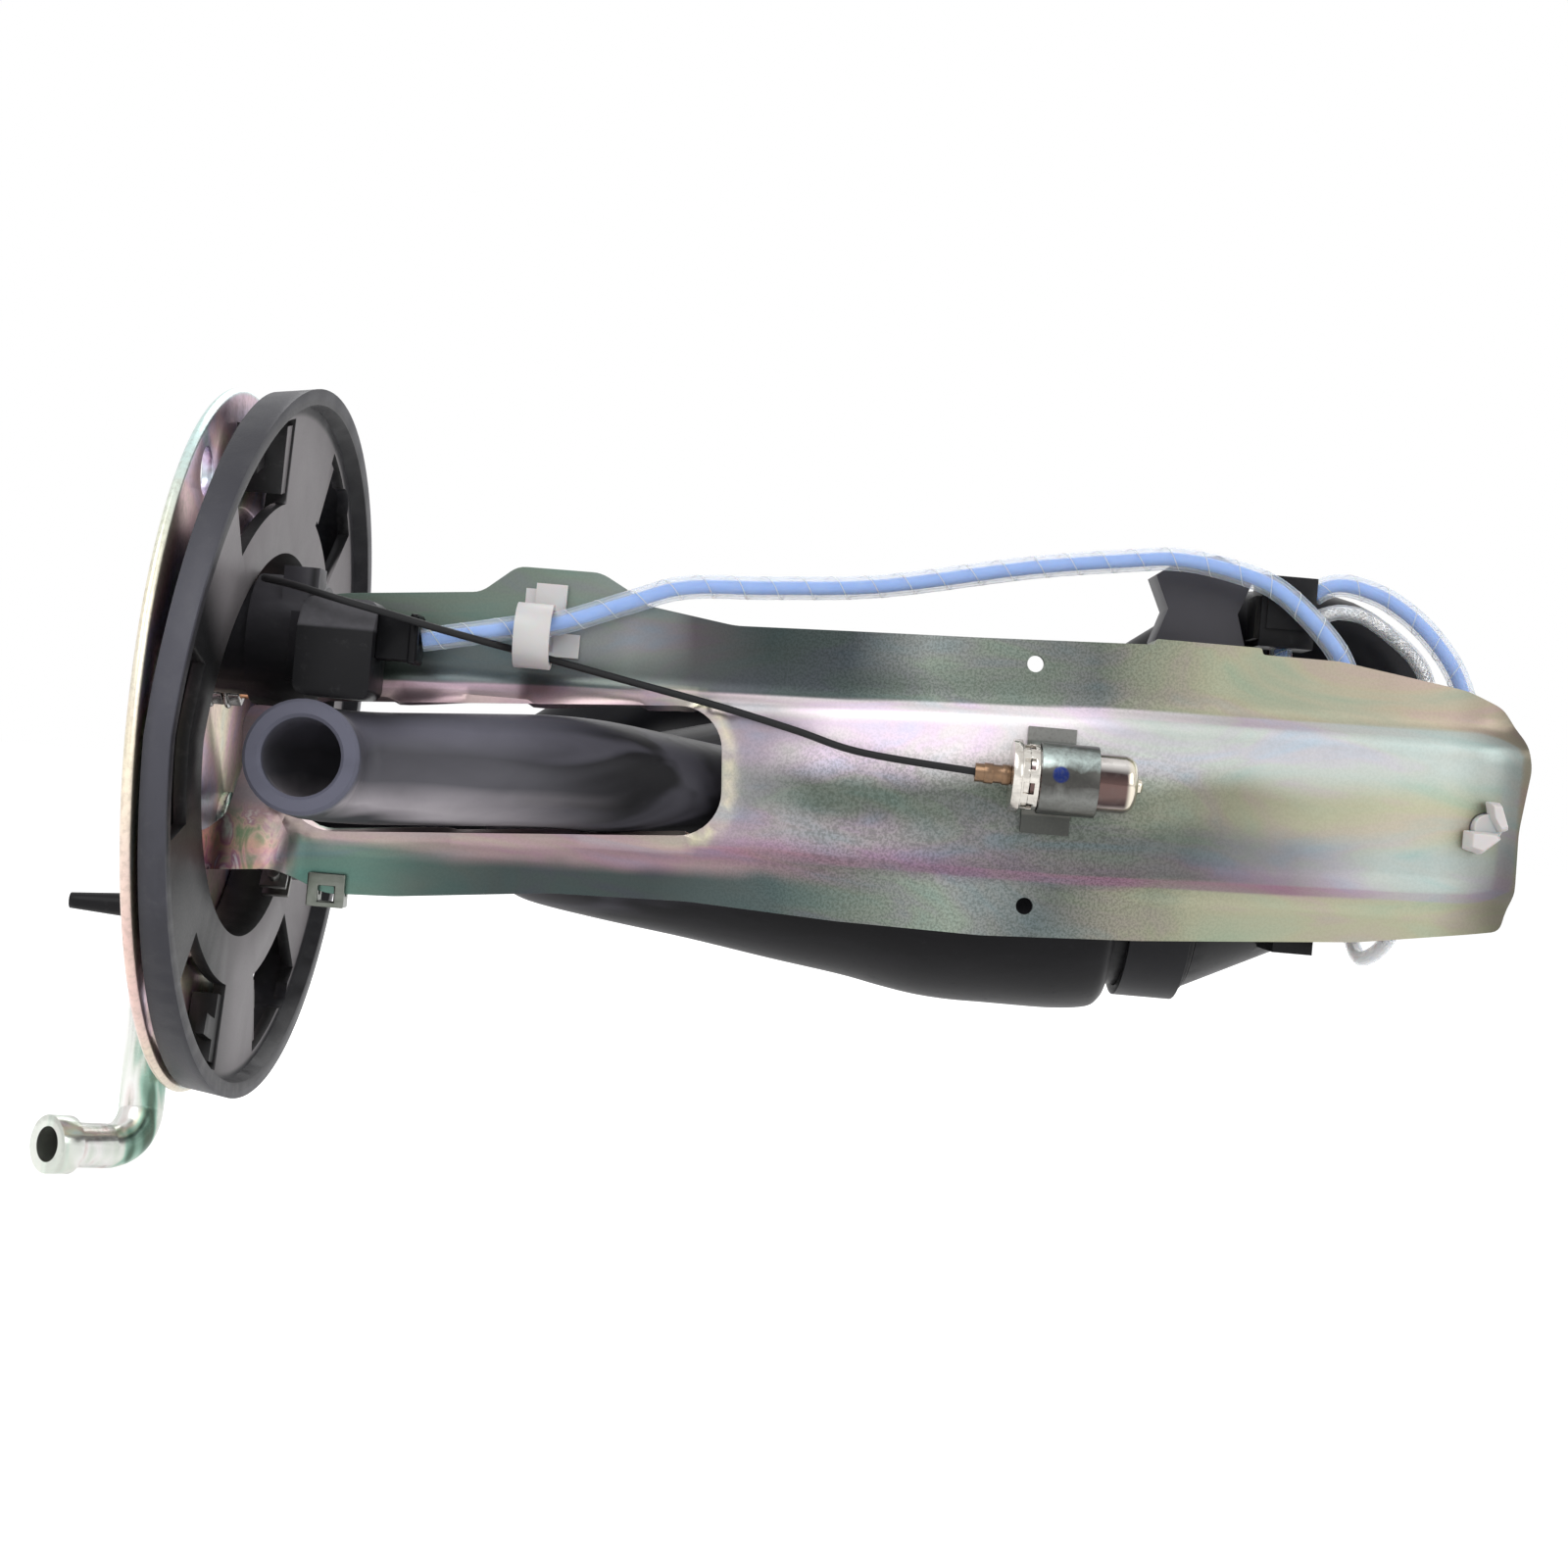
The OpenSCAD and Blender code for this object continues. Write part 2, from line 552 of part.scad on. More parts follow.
module wire_clip() {
  color([0.93, 0.93, 0.9]) {
    yz(42.6, 4.8) translate([side_y - clip_loop_r - 0.05, 17.8]) difference() {
      circle(r = clip_loop_r);
      circle(r = clip_loop_r - 0.7);
    }
    translate([44.4, side_y - 1.2, 20.5]) cube([4.2, 1.2, 4.7]);
    translate([47.2, side_y - 1.2, 15.4]) cube([3.6, 1.2, 3.2]);
    translate([43, side_y - 0.9, 15.4]) cube([4.4, 0.9, 9.0]);
  }
}

module push_clip() {
  color([0.94, 0.94, 0.92]) translate([175, 0, 3.2]) rotate([90, 0, 0]) {
    translate([0, 0, -web_y - sheet - 1.3]) cylinder(h = 1.3, r = 3.9);
    translate([0, 0, -web_y - sheet - 1]) cylinder(h = 3.4, r = clip_hole_r - 0.2);
    translate([0, 0, -web_y + 0.2]) intersection() {
      cylinder(h = 4.2, r1 = 3.6, r2 = 0.9);
      rotate(35) translate([-5, -1.1, 0]) cube([10, 2.2, 6]);
    }
  }
}

// Rings of the tapering bell: x, y, z, outer radius
bell_p = [[38.4, 4.2, -8.7, 5.2], [39.4, 4.3, -8.7, 7.4], [42, 4.6, -8.6, 9.4], [46, 5, -8.4, 11],
  [56, 5.6, -7.8, 13.2], [68, 6.5, -7, 15.6], [80, 7.6, -6.2, 18.3],
  [case_x0 - 0.1, py, pz, 20.5]];
// Rings of the hollow inside it
cave_p = concat([[47, 5, -8.4, 6.8]],
  [for (i = [4:6]) bell_p[i] - [0, 0, 0, bell_wall]], [[case_x0 - 1.9, py, pz, 17]]);

// A solid through rings across X
module loft(p, m) {
  c = len(p);
  polyhedron(
    points = [for (i = [0:c - 1]) for (j = [0:m - 1]) let (a = 360 * j / m)
      [p[i][0], p[i][1] + p[i][3] * cos(a), p[i][2] + p[i][3] * sin(a)]],
    faces = concat(
      [[for (j = [0:m - 1]) j]],
      [for (i = [0:c - 2]) for (j = [0:m - 1]) each
        [[i * m + j, (i + 1) * m + j, (i + 1) * m + (j + 1) % m],
         [i * m + j, (i + 1) * m + (j + 1) % m, i * m + (j + 1) % m]]],
      [[for (j = [m - 1:-1:0]) (c - 1) * m + j]]));
}

module suction_boot() {
  rb = [0, 10, 24, 0];
  d = seg(hose_p, 2);
  a = hose_p[2] + d * cut(hose_p, 2, rb[2]);
  color([0.13, 0.13, 0.15]) {
    tube(hose_p, hose_r, hose_bore, rb, open = true);
    difference() {
      union() {
        rod(a, hose_p[3] - d * 6, hose_r);
        loft(bell_p, 36);
        pump(case_x0 - 0.3) rotate_extrude() polygon([[0, 0], [20.4, 0], [21.6, 6], [22.4, 11],
          [bell_r, 16], [bell_r, 29], [bell_r - 0.5, 35], [bell_r - 0.9, 36.8],
          [bell_r - 2, 37.8], [0, 37.8]]);
      }
      rod(a - d * 1.5, hose_p[3], hose_bore);
      loft(cave_p, 36);
      pump(88.4) cylinder(h = case_x0 - 88.3, r = 17.1);
      pump(case_x0 - 0.05) cylinder(h = 60, r = case_r + slip_fit);
    }
  }
}

module pump_case() {
  color([0.1, 0.1, 0.11]) pump(case_x0) difference() {
    cylinder(h = case_l, r = case_r);
    translate([0, 0, lip]) cylinder(h = case_l - 2 * lip, r = case_in);
    translate([0, 0, -1]) cylinder(h = case_l + 2, r = case_in - 1);
  }
}

// Places along the pump axis, from the inlet end
cov_x = case_x0 + lip + slip_fit;
body_x = cov_x + 4.6;
imp_x = body_x + 0.3;
cap_x = case_x1 - lip - slip_fit - 5.4;
bear_l = 3.6;
// The motor fills the case between the turbine and the cap
com_x = cap_x - 5.1;
mag_x = case_x0 + 14.5;
arm_x = case_x0 + 16.5;
wind_l = 2.4;
arm_l = com_x - 0.7 - wind_l - arm_x;

module inlet_cover() {
  color([0.72, 0.72, 0.74]) difference() {
    union() {
      pump(cov_x) cylinder(h = 4.6, r = case_in - slip_fit);
      ax(case_x0 - 6, py, pz - 8) cylinder(h = 7, r = 5);
    }
    ax(case_x0 - 7, py, pz - 8) cylinder(h = 20, r = 3.6);
    pump(cov_x + 1) cylinder(h = 5, r = shaft_r + 2 + slip_fit);
  }
}

module pump_body() {
  color([0.68, 0.68, 0.7]) pump(body_x) difference() {
    cylinder(h = 7.2, r = case_in - slip_fit);
    translate([0, 0, -1]) cylinder(h = impeller_t + 1.6, r = impeller_r + 0.4);
    cylinder(h = 9, r = shaft_r + 0.5);
    translate([-10.5, 0, 0]) cylinder(h = 9, r = 2.6);
  }
}

module impeller() {
  color([0.35, 0.33, 0.3]) pump(imp_x) difference() {
    cylinder(h = impeller_t, r = impeller_r);
    translate([0, 0, -1]) cylinder(h = 6, r = shaft_r + 0.02);
    for (i = [0:vanes - 1]) rotate(i * 360 / vanes) {
      translate([impeller_r - 2.2, -1.3, -0.1]) cube([3, 2.6, impeller_t / 2 - 0.2]);
      translate([impeller_r - 2.2, -1.3, impeller_t / 2 + 0.3]) cube([3, 2.6, impeller_t]);
    }
    for (i = [0:3]) rotate(i * 90 + 45) translate([7, 0, -1]) cylinder(h = 6, r = 1.5);
  }
}

module magnets() {
  color([0.3, 0.3, 0.32]) pump(mag_x) for (s = [0, 180]) rotate(s)
    linear_extrude(com_x + 0.9 - mag_x) sector(armature_r + 0.8, case_in - 0.15, -62, 62);
}

module armature() {
  color([0.72, 0.42, 0.22]) pump(arm_x) {
    difference() {
      cylinder(h = arm_l, r = armature_r);
      translate([0, 0, -1]) cylinder(h = 30, r = shaft_r + 0.02);
      for (i = [0:7]) rotate(i * 45) translate([6.4, -0.9, -1]) cube([9, 1.8, 30]);
    }
    for (z = [-wind_l, arm_l]) translate([0, 0, z]) difference() {
      cylinder(h = wind_l, r = armature_r - 2.2);
      translate([0, 0, -1]) cylinder(h = 5, r = 4.6);
    }
  }
}

module shaft() {
  color([0.82, 0.82, 0.84]) pump(cov_x + 1.5) cylinder(h = cap_x + bear_l - cov_x - 2.3, r = shaft_r);
}

module commutator() {
  color([0.75, 0.47, 0.3]) pump(com_x) difference() {
    union() {
      translate([0, 0, 1.2]) cylinder(h = 2, r = 8.6);
      cylinder(h = 1.3, r = 4);
    }
    translate([0, 0, -1]) cylinder(h = 9, r = shaft_r + 0.02);
    for (i = [0:7]) rotate(i * 45 + 22.5) translate([4.4, -0.2, 1.7]) cube([6, 0.4, 3]);
  }
}

module bearings() {
  color([0.66, 0.52, 0.34]) for (x = [cov_x + 1, cap_x]) pump(x) difference() {
    cylinder(h = bear_l - 0.05, r = shaft_r + 2);
    translate([0, 0, -1]) cylinder(h = 9, r = shaft_r + run_fit);
  }
}

brush_x = com_x + 3.25;
module brushes() {
  color([0.22, 0.22, 0.24]) for (s = [-1, 1])
    translate([brush_x, py + s * 6.3 - 1.5, pz - 2]) cube([8, 3, 4]);
}

module brush_springs() {
  color([0.8, 0.8, 0.82]) for (s = [-1, 1]) ax(brush_x + 8.05, py + s * 6.3, pz) coil(1.1, 0.2, 5.8, 6);
}

// Check valve and relief valve, upright in the cover
chk_x = case_x1 + 3.5;
seat_z = -2.6;
rel_x = case_x1 + 6.1;
rel_seat = -8.6;
chk_top = 7.6;
rel_low = -15.8;
term_z = pz - 4;
noz_r = pipe_r + 0.1;

module outlet_cover() {
  color([0.17, 0.17, 0.19]) difference() {
    union() {
      pump(cap_x) cylinder(h = 5.4, r = case_in - slip_fit);
      pump(cap_x + 5) cylinder(h = case_x1 - cap_x - 4.8, r = case_in - 1.2);
      difference() {
        pump(case_x1 + 0.15) union() {
          cylinder(h = 13.8, r1 = 18.1, r2 = 11.4);
          translate([0, 0, 13.8]) cylinder(h = 0.8, r1 = 11.4, r2 = 10.6);
        }
        translate([case_x1 + 6.8, -20, pz + 0.2]) cube([20, 60, 30]);
      }
      ax(case_x1 + 4.5, py, noz_z) cylinder(h = 12, r = noz_r);
      ax(case_x1 + 15.1, py, noz_z) cylinder(h = 2, r1 = noz_r, r2 = noz_r - 0.8);
      translate([case_x1 + 10, -11, -16.4]) cube([5.5, 16, 3.4]);
    }
    pump(cap_x - 1) cylinder(h = bear_l + 1, r = shaft_r + 2 + slip_fit);
    pump(cap_x) cylinder(h = rel_x - cap_x, r = 1.3);
    for (s = [-1, 1]) translate([cap_x - 1, py + s * 6.3 - 1.6, pz - 2.1]) cube([13, 3.2, 4.2]);
    translate([chk_x, py, pz]) cylinder(h = 4, r = 1.5);
    translate([chk_x, py, seat_z]) cylinder(h = chk_top - seat_z, r = ball_r + 0.45);
    ax(chk_x, py, noz_z) cylinder(h = 14.2, r = noz_r - 1.2);
    translate([rel_x, py, rel_seat - 0.1]) cylinder(h = -rel_seat + pz + 0.4, r = 1.1);
    translate([rel_x, py, rel_low]) cylinder(h = rel_seat - rel_low, r = relief_r + 0.4);
    translate([rel_x, py, -26]) cylinder(h = 12, r = 1.1);
    for (s = [-1, 1]) ax(case_x1 + 9.1, py + 6.5 * s, term_z) cylinder(h = 9, r = 1.2);
  }
}

module check_ball() {
  color([0.85, 0.85, 0.87])
    translate([chk_x, py, seat_z + sqrt(ball_r * ball_r - 2.25) + 0.03]) sphere(r = ball_r);
}

module check_spring() {
  z0 = seat_z + sqrt(ball_r * ball_r - 2.25) + ball_r + 0.08 - 0.6;
  color([0.8, 0.8, 0.82]) translate([chk_x, py, z0]) coil(1.7, 0.2, chk_top - z0 - 0.05, 5);
}

module relief_ball() {
  color([0.85, 0.85, 0.87])
    translate([rel_x, py, rel_seat - sqrt(relief_r * relief_r - 1.21) - 0.03]) sphere(r = relief_r);
}

module relief_spring() {
  z1 = rel_seat - sqrt(relief_r * relief_r - 1.21) - relief_r - 0.08 + 0.5;
  color([0.8, 0.8, 0.82]) translate([rel_x, py, rel_low + 0.05]) coil(1.45, 0.18, z1 - rel_low - 0.05, 4);
}

module pump_terminals() {
  color([0.8, 0.66, 0.35]) for (s = [-1, 1]) ax(case_x1 + 9.2, py + 6.5 * s, term_z) {
    cylinder(h = 11.6, r = 1.1);
    translate([0, 0, 6.6]) cylinder(h = 1.6, r = 2.3, $fn = 6);
    translate([0, 0, 8.6]) cylinder(h = 2.2, r = 2.0);
  }
}

module pump_strap() {
  color([0.2, 0.2, 0.21]) {
    pump(case_x1 - 9.3) difference() {
      cylinder(h = 8.4, r = case_r + 1.45);
      translate([0, 0, -1]) cylinder(h = 12, r = case_r + slip_fit);
    }
    difference() {
      translate([case_x1 - 9.1, 0, 0]) xz(-5.5, 8.8) polygon([[0, 8], [8.1, 8], [11.4, 15], [12.6, 25.6],
        [11.2, 30.2], [12.8, 34.6], [10.6, 37], [7.9, 38.2], [3, 37.4], [-0.7, 34.8], [1.4, 30.2],
        [0, 25.8],
        [0.6, 20]]);
      pump(case_x1 - 12) cylinder(h = 20, r = case_r + 1.2);
    }
  }
}

module outlet_hose() {
  color([0.12, 0.12, 0.14]) tube(out_p, out_r, pipe_r + 0.15, [0, out_bend, out_bend, 14, 14, 16, 14, 0]);
}

module hose_clamps() {
  color([0.7, 0.72, 0.68]) for (p = [[case_x1 + 9.1, py, noz_z, 60], [5, pipe_p[0][1], pipe_p[0][2], -30]])
    ax(p[0], p[1], p[2]) rotate(p[3]) {
    difference() {
      cylinder(h = clamp_w, r = out_r + 0.85);
      translate([0, 0, -1]) cylinder(h = 9, r = out_r + 0.05);
    }
    for (s = [-1, 1]) translate([out_r + 0.5, s * 1.3 - 0.4, 0.6]) cube([3.4, 0.8, clamp_w - 1.2]);
    translate([out_r + 2.3, 3, clamp_w / 2]) rotate([90, 0, 0]) cylinder(h = 6, r = 0.9);
  }
}

module lead_connector() {
  color([0.15, 0.15, 0.16]) difference() {
    union() {
      translate([144.6, -7, 26]) cube([7.6, 8, 10]);
      translate([143.9, -6.4, 27]) cube([1, 6.8, 6]);
      translate([145.4, -7.6, 28.5]) cube([5.6, 0.7, 5]);
    }
    ax(151, -3.8, 34) cylinder(h = 3, r = feed_r + slip_fit);
    ax(151, -3.8, 30.4) cylinder(h = 3, r = ground_lead_r + slip_fit);
    translate([148.4, -3.6, 25]) cylinder(h = 2.4, r = feed_r + slip_fit);
  }
}

sen_y = web_y - band_r - 0.1;
sen_z = 4.7;

module sensor_can() {
  color([0.85, 0.8, 0.74]) ax(112.6, sen_y, sen_z) difference() {
    rotate_extrude() polygon([[0, 0], [can_r, 0], [can_r, 12.6], [can_r - 0.2, 13.4], [can_r - 0.7, 14],
      [can_r - 1.4, 14.3], [1.1, 14.3], [1.0, 14.9], [0.6, 15.2], [0, 15.2]]);
    translate([0, 0, -1]) cylinder(h = 13.6, r = can_r - 0.6);
  }
}

module sensor_collar() {
  color([0.9, 0.89, 0.86]) ax(110.2, sen_y, sen_z) difference() {
    union() {
      cylinder(h = 1.2, r = 4.9, $fn = 12);
      translate([0, 0, 1.2]) cylinder(h = 1.1, r = 4.3);
      translate([0, 0, 2.2]) difference() {
        cylinder(h = 1.4, r = 4.4);
        cylinder(h = 3, r = can_r + slip_fit);
      }
    }
    translate([0, 0, -1]) cylinder(h = 5, r = ferrule_r + slip_fit);
    for (a = [0:45:315]) rotate(a + 22) translate([3.7, -0.8, 1.5]) cube([2, 1.6, 1.4]);
  }
}

module sensor_ferrule() {
  color([0.75, 0.55, 0.28]) ax(105.4, sen_y, sen_z) difference() {
    union() {
      cylinder(h = 5.6, r = ferrule_r);
      translate([0, 0, 1.2]) cylinder(h = 1.2, r = ferrule_r + 0.15);
      translate([0, 0, 3.6]) cylinder(h = 1, r = ferrule_r + 0.15);
    }
    translate([0, 0, -1]) cylinder(h = 4, r = sensor_lead_r + slip_fit);
  }
}

module sensor_band() {
  color([0.76, 0.8, 0.74]) {
    ax(113.9, sen_y, sen_z) difference() {
      cylinder(h = 7.7, r = band_r);
      translate([0, 0, -1]) cylinder(h = 12, r = can_r + 0.55);
    }
    difference() {
      translate([112.4, web_y - 0.8, -2.8]) cube([6.6, 0.8, 14.4]);
      ax(110, sen_y, sen_z) cylinder(h = 20, r = can_r + 0.55);
    }
  }
}

module thermistor() {
  color([0.2, 0.3, 0.25]) ax(116, sen_y, sen_z) {
    cylinder(h = 6, r = 1.6);
    translate([0, 0, -3.2]) cylinder(h = 3.3, r = 0.4);
  }
}

module lead_feed() { color([0.35, 0.5, 0.8]) cord(feed_p, feed_r, 3, 8); }

// The points p with the first moved by a and the last by b
function ends(p, a, b) = [for (i = [0:len(p) - 1]) p[i] + (i == 0 ? a : i == len(p) - 1 ? b : [0, 0, 0])];
module lead_wraps() {
  color([0.85, 0.87, 0.92]) {
    sleeve(ends(feed_p, [0.6, 0.1, 0.1], [0, -0.1, -0.6]), wrap_r, wrap_bore, 3, 8);
    sleeve(ends(pump_p, [1, 0, 0.6], [0, 0, 0]), wrap_r, wrap_bore, 3, 8);
  }
}
module lead_pump() { color([0.35, 0.5, 0.8]) cord(pump_p, feed_r, 3, 8); }
module lead_ground() { color([0.75, 0.76, 0.76]) cord(gnd_p, ground_lead_r, 3, 8, [1, 1, 1]); }
module lead_sensor() { color([0.08, 0.08, 0.09]) cord(sens_p, sensor_lead_r, 5, 8); }

flange_plate();
retainer_ring();
outlet_pipe();
outer_stub();
terminal_housing();
socket_pins();
lead_boot();
ground_stud();
stud_nuts();
bracket();
edge_clip();
wire_clip();
push_clip();
suction_boot();
pump_case();
inlet_cover();
pump_body();
impeller();
magnets();
armature();
shaft();
commutator();
bearings();
brushes();
brush_springs();
outlet_cover();
check_ball();
check_spring();
relief_ball();
relief_spring();
pump_terminals();
pump_strap();
outlet_hose();
hose_clamps();
lead_connector();
sensor_can();
sensor_collar();
sensor_ferrule();
sensor_band();
thermistor();
lead_feed();
lead_wraps();
lead_pump();
lead_ground();
lead_sensor();
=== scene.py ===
"""Dresses the in-tank fuel pump module: plated sheet, moulded nylon, hoses, leads and a plain stage."""

import math

import bpy
import bmesh
import numpy as np
from mathutils import Matrix, Vector, noise
from mathutils.geometry import delaunay_2d_cdt


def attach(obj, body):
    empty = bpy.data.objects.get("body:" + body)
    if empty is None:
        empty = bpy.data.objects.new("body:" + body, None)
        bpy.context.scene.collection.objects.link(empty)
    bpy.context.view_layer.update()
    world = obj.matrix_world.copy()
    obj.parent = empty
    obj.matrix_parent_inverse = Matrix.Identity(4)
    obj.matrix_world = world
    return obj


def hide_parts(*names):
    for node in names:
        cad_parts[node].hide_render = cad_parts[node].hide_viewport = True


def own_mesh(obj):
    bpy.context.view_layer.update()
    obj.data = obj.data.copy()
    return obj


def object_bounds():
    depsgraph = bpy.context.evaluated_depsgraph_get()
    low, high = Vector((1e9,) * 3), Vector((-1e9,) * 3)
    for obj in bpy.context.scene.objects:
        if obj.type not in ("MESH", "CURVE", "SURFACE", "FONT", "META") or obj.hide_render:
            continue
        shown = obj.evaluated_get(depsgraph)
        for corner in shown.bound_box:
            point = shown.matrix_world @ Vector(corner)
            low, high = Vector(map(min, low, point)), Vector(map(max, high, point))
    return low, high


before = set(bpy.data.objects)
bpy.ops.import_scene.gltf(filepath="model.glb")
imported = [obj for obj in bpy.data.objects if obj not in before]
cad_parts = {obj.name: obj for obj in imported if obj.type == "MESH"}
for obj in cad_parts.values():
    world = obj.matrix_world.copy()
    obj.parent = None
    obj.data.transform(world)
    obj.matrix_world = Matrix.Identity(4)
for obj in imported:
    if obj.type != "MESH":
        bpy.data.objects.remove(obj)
CAD_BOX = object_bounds()

bl_info = {
    "name": "In-tank fuel pump",
    "version": (1, 0, 0),
    "blender": (4, 5, 0),
    "location": "View3D > Sidebar > Fuel pump",
    "description": "Dresses the fuel pump module with its finishes, hoses, leads and stage",
    "category": "Object",
}

MM = 0.001

# Routes in millimetres, with the solids' own points. Only the sensor's lead runs a little straighter here.
FEED = [(30.6, -25.5, 15.8), (36.8, -24.6, 17.2), (43, -22.3, 18.8), (48.5, -21.7, 19.9), (57, -20, 23.4),
        (64.6, -18, 26.3), (76.5, -15, 27.5), (91.3, -12, 29.3), (111.5, -9.4, 33.8), (125, -9, 36),
        (132, -9, 36.8), (139, -9.4, 36), (145.6, -10, 34), (151.2, -11, 29.6), (155.4, -12, 24.5),
        (157.4, -12.2, 18), (155.2, -11, 12.5), (151, -8.6, 11.8), (148.8, -5.8, 16), (148.4, -3.6, 25.8)]
PUMP_LEAD = [(152.3, -3.8, 34), (154.6, -3.7, 35.4), (158, -3.5, 35.6), (163.4, -3.5, 33.9),
             (169.1, -4.5, 29.5), (173.5, -6, 22.9), (176, -5.4, 13), (174.6, -2, 2.5), (168.5, 1.6, -6.5),
             (160.9, 2, -9.5)]
GROUND = [(152.3, -3.8, 30.4), (154.7, -3.7, 31.5), (157, -3.5, 31.9), (160.9, -3.5, 31), (167.4, -4.4, 26),
          (169.4, -6, 20.5), (169.6, -9, 11), (168.6, -9.6, -2), (167, -4.5, -13), (165.8, 6, -17),
          (165.4, 13, -14.6), (163.8, 15.2, -10.8), (160.9, 15, -9.6)]
SENSOR_LEAD = [(8.2, -21.8, 22.4), (13.6, -28.5, 21.4), (20.2, -32.2, 19.9), (27.2, -31.2, 18.5),
               (32.1, -28.8, 17.5), (36.5, -26.6, 16.7), (40.7, -23.6, 16), (45.1, -20.9, 15.3),
               (50.5, -20.6, 14.3), (57.9, -20.9, 12.9), (70.3, -21.4, 10.6), (81.1, -22, 8.2),
               (90.3, -22.8, 6), (106.4, -24.3, 4.7)]
# Corner points and bend radii of the two rubber hoses
SUCTION = [(17.8, -36, -1), (17.8, -20.6, -2.4), (52, -19.6, 0.2), (86, 2, -4)]
SUCTION_BENDS = [0, 10, 24, 0]
OUTLET = [(146.8, 8.5, 3), (167.2, 8.5, 3), (167.2, 8.5, 29.4), (143, 11, 28.5), (124, 31.8, 14),
          (60, 31.8, 14), (26, 12, -12), (3.4, 12, -12)]
OUTLET_BENDS = [0, 12.6, 12.6, 14, 14, 16, 14, 0]
# Outer and inner radii of what follows a route
HOSE, RETURN, WRAP, SLEEVE = (7.6, 5.2), (6.6, 3.35), (1.6, 1.25), (1.1, 0.93)
LEAD_R, SENSOR_LEAD_R, GROUND_R, STRAND_R, SEAM_R = 0.95, 0.5, 0.68, 0.13, 0.06
# Rings of the rubber bell across X: x, y, z, radius
BELL = [(38.4, 4.2, -8.7, 5.2), (39.4, 4.3, -8.7, 7.4), (42, 4.6, -8.6, 9.4), (46, 5, -8.4, 11),
        (56, 5.6, -7.8, 13.2), (68, 6.5, -7, 15.6), (80, 7.6, -6.2, 18.3), (90.4, 8.5, -5.5, 20.5),
        (96.2, 8.5, -5.5, 21.6), (101.2, 8.5, -5.5, 22.4), (106.2, 8.5, -5.5, 22.75),
        (112, 8.5, -5.5, 22.75), (119.2, 8.5, -5.5, 22.75), (122.6, 8.5, -5.5, 22.6),
        (125.2, 8.5, -5.5, 22.3), (127, 8.5, -5.5, 21.8), (128, 8.5, -5.5, 20.7)]
# Mouth of the bell: its middle, its lip's radius, its bore's radius and depth
MOUTH, MOUTH_LIP, MOUTH_BORE, MOUTH_DEPTH = Vector((128, 8.5, -5.5)), 19.2, 18.62, 36
# Outline of the bracket sheet, X and Z
PLATE = [(-0.8, -12.6), (2.4, -12.2), (5.4, -9.6), (7, -2.8), (6.4, 3), (7.4, 5.4), (16.4, 5.4),
         (16.4, 21.2), (18.2, 21.6), (36.8, 23.4), (41.5, 27.3), (52.9, 27.4), (57.4, 25), (59.5, 23.5),
         (71.7, 21.8), (86.3, 22.4), (104.9, 23.1), (122.2, 23.9), (128.8, 24.2), (129, 25), (143.4, 25),
         (143.6, 24.1), (154.2, 24.1), (171.8, 21.6), (177, 19.6), (180.4, 15.6), (181.4, 11.8),
         (180.2, 3), (180.4, -6.3), (179.3, -10.7), (159.6, -13.8), (130, -16.2), (108.5, -17.3),
         (88.4, -17.1), (68.3, -16.2), (49.7, -16.7), (28.5, -19), (19.1, -19.4), (15.6, -18),
         (12.2, -16.6), (-0.8, -17.8)]
# Lines of its two long bends, X and Z
BEND_UP = [(12, 10.4), (74, 13.2), (123, 15.6), (183, 16.9)]
BEND_LOW = [(-2, -12.4), (21, -12.0), (68, -10.2), (121, -10.0), (183, -7.6)]
# Valve springs: place, lower and upper end, radius, wire, turns, joint, fixed end, share left at full lift
SPRINGS = {"check_spring": ((143, 8.5), 0.92, 7.55, 1.7, 0.2, 5, "check_lift", 7.55, 0.774),
           "relief_spring": ((145.6, 8.5), -15.75, -11.63, 1.45, 0.18, 4, "relief_lift", -15.75, 0.709)}
# Y of the side strips and of the raised web, and the sheet's thickness
SIDE_Y, WEB_Y, SHEET = -17.0, -19.5, 1.2
# Profiles of the bracket's folds: foot and end in X and Y, tab in Y and Z
FOOT_FOLD = [(-1.4, -8.2), (-1.4, -15.0), (-1.2, -16.2), (-0.4, -16.4)]
END_FOLD = [(178.2, WEB_Y + 3.0), (179.3, WEB_Y + 3.6), (179.9, WEB_Y + 5.2), (180.0, WEB_Y + 12.2)]
TAB_FOLD = [(SIDE_Y + 0.6, 22.4), (SIDE_Y + 0.8, 23.6), (SIDE_Y + 2.0, 24.35), (-5.6, 24.4)]
# Hose slot: middle in X and Z, length, width, corner radius and tilt in degrees
SLOT = (42.35, -0.3, 58.7, 17.6, 6.0, 4.3)
# Middle of the push clip and its two blades, X and Z
PUSH_CLIP = (175, 3.2)
BLADES = [[(174.5, 6.8), (176.1, 6.8), (177.5, 3.1), (176.3, 2.6), (175.0, 4.6)],
          [(171.9, 0.2), (171.9, 2.7), (176.1, 2.7), (176.7, 1.9), (174.1, -0.4)]]
# Round holes of the sheet: X, Z and radius
ROUND_HOLES = [(112.9, 20.2, 1.15), (114.2, -12.8, 1.15), (*PUSH_CLIP, 2.1)]


def measure(name, words, size, low):
    """A length property with its default and its lowest value."""
    return bpy.props.FloatProperty(name=name, description=words, default=size, min=low, unit="LENGTH")


def tint(name, words, rgb):
    """A colour property with its default."""
    return bpy.props.FloatVectorProperty(name=name, description=words, default=rgb, size=3, min=0, max=1,
                                         subtype="COLOR")


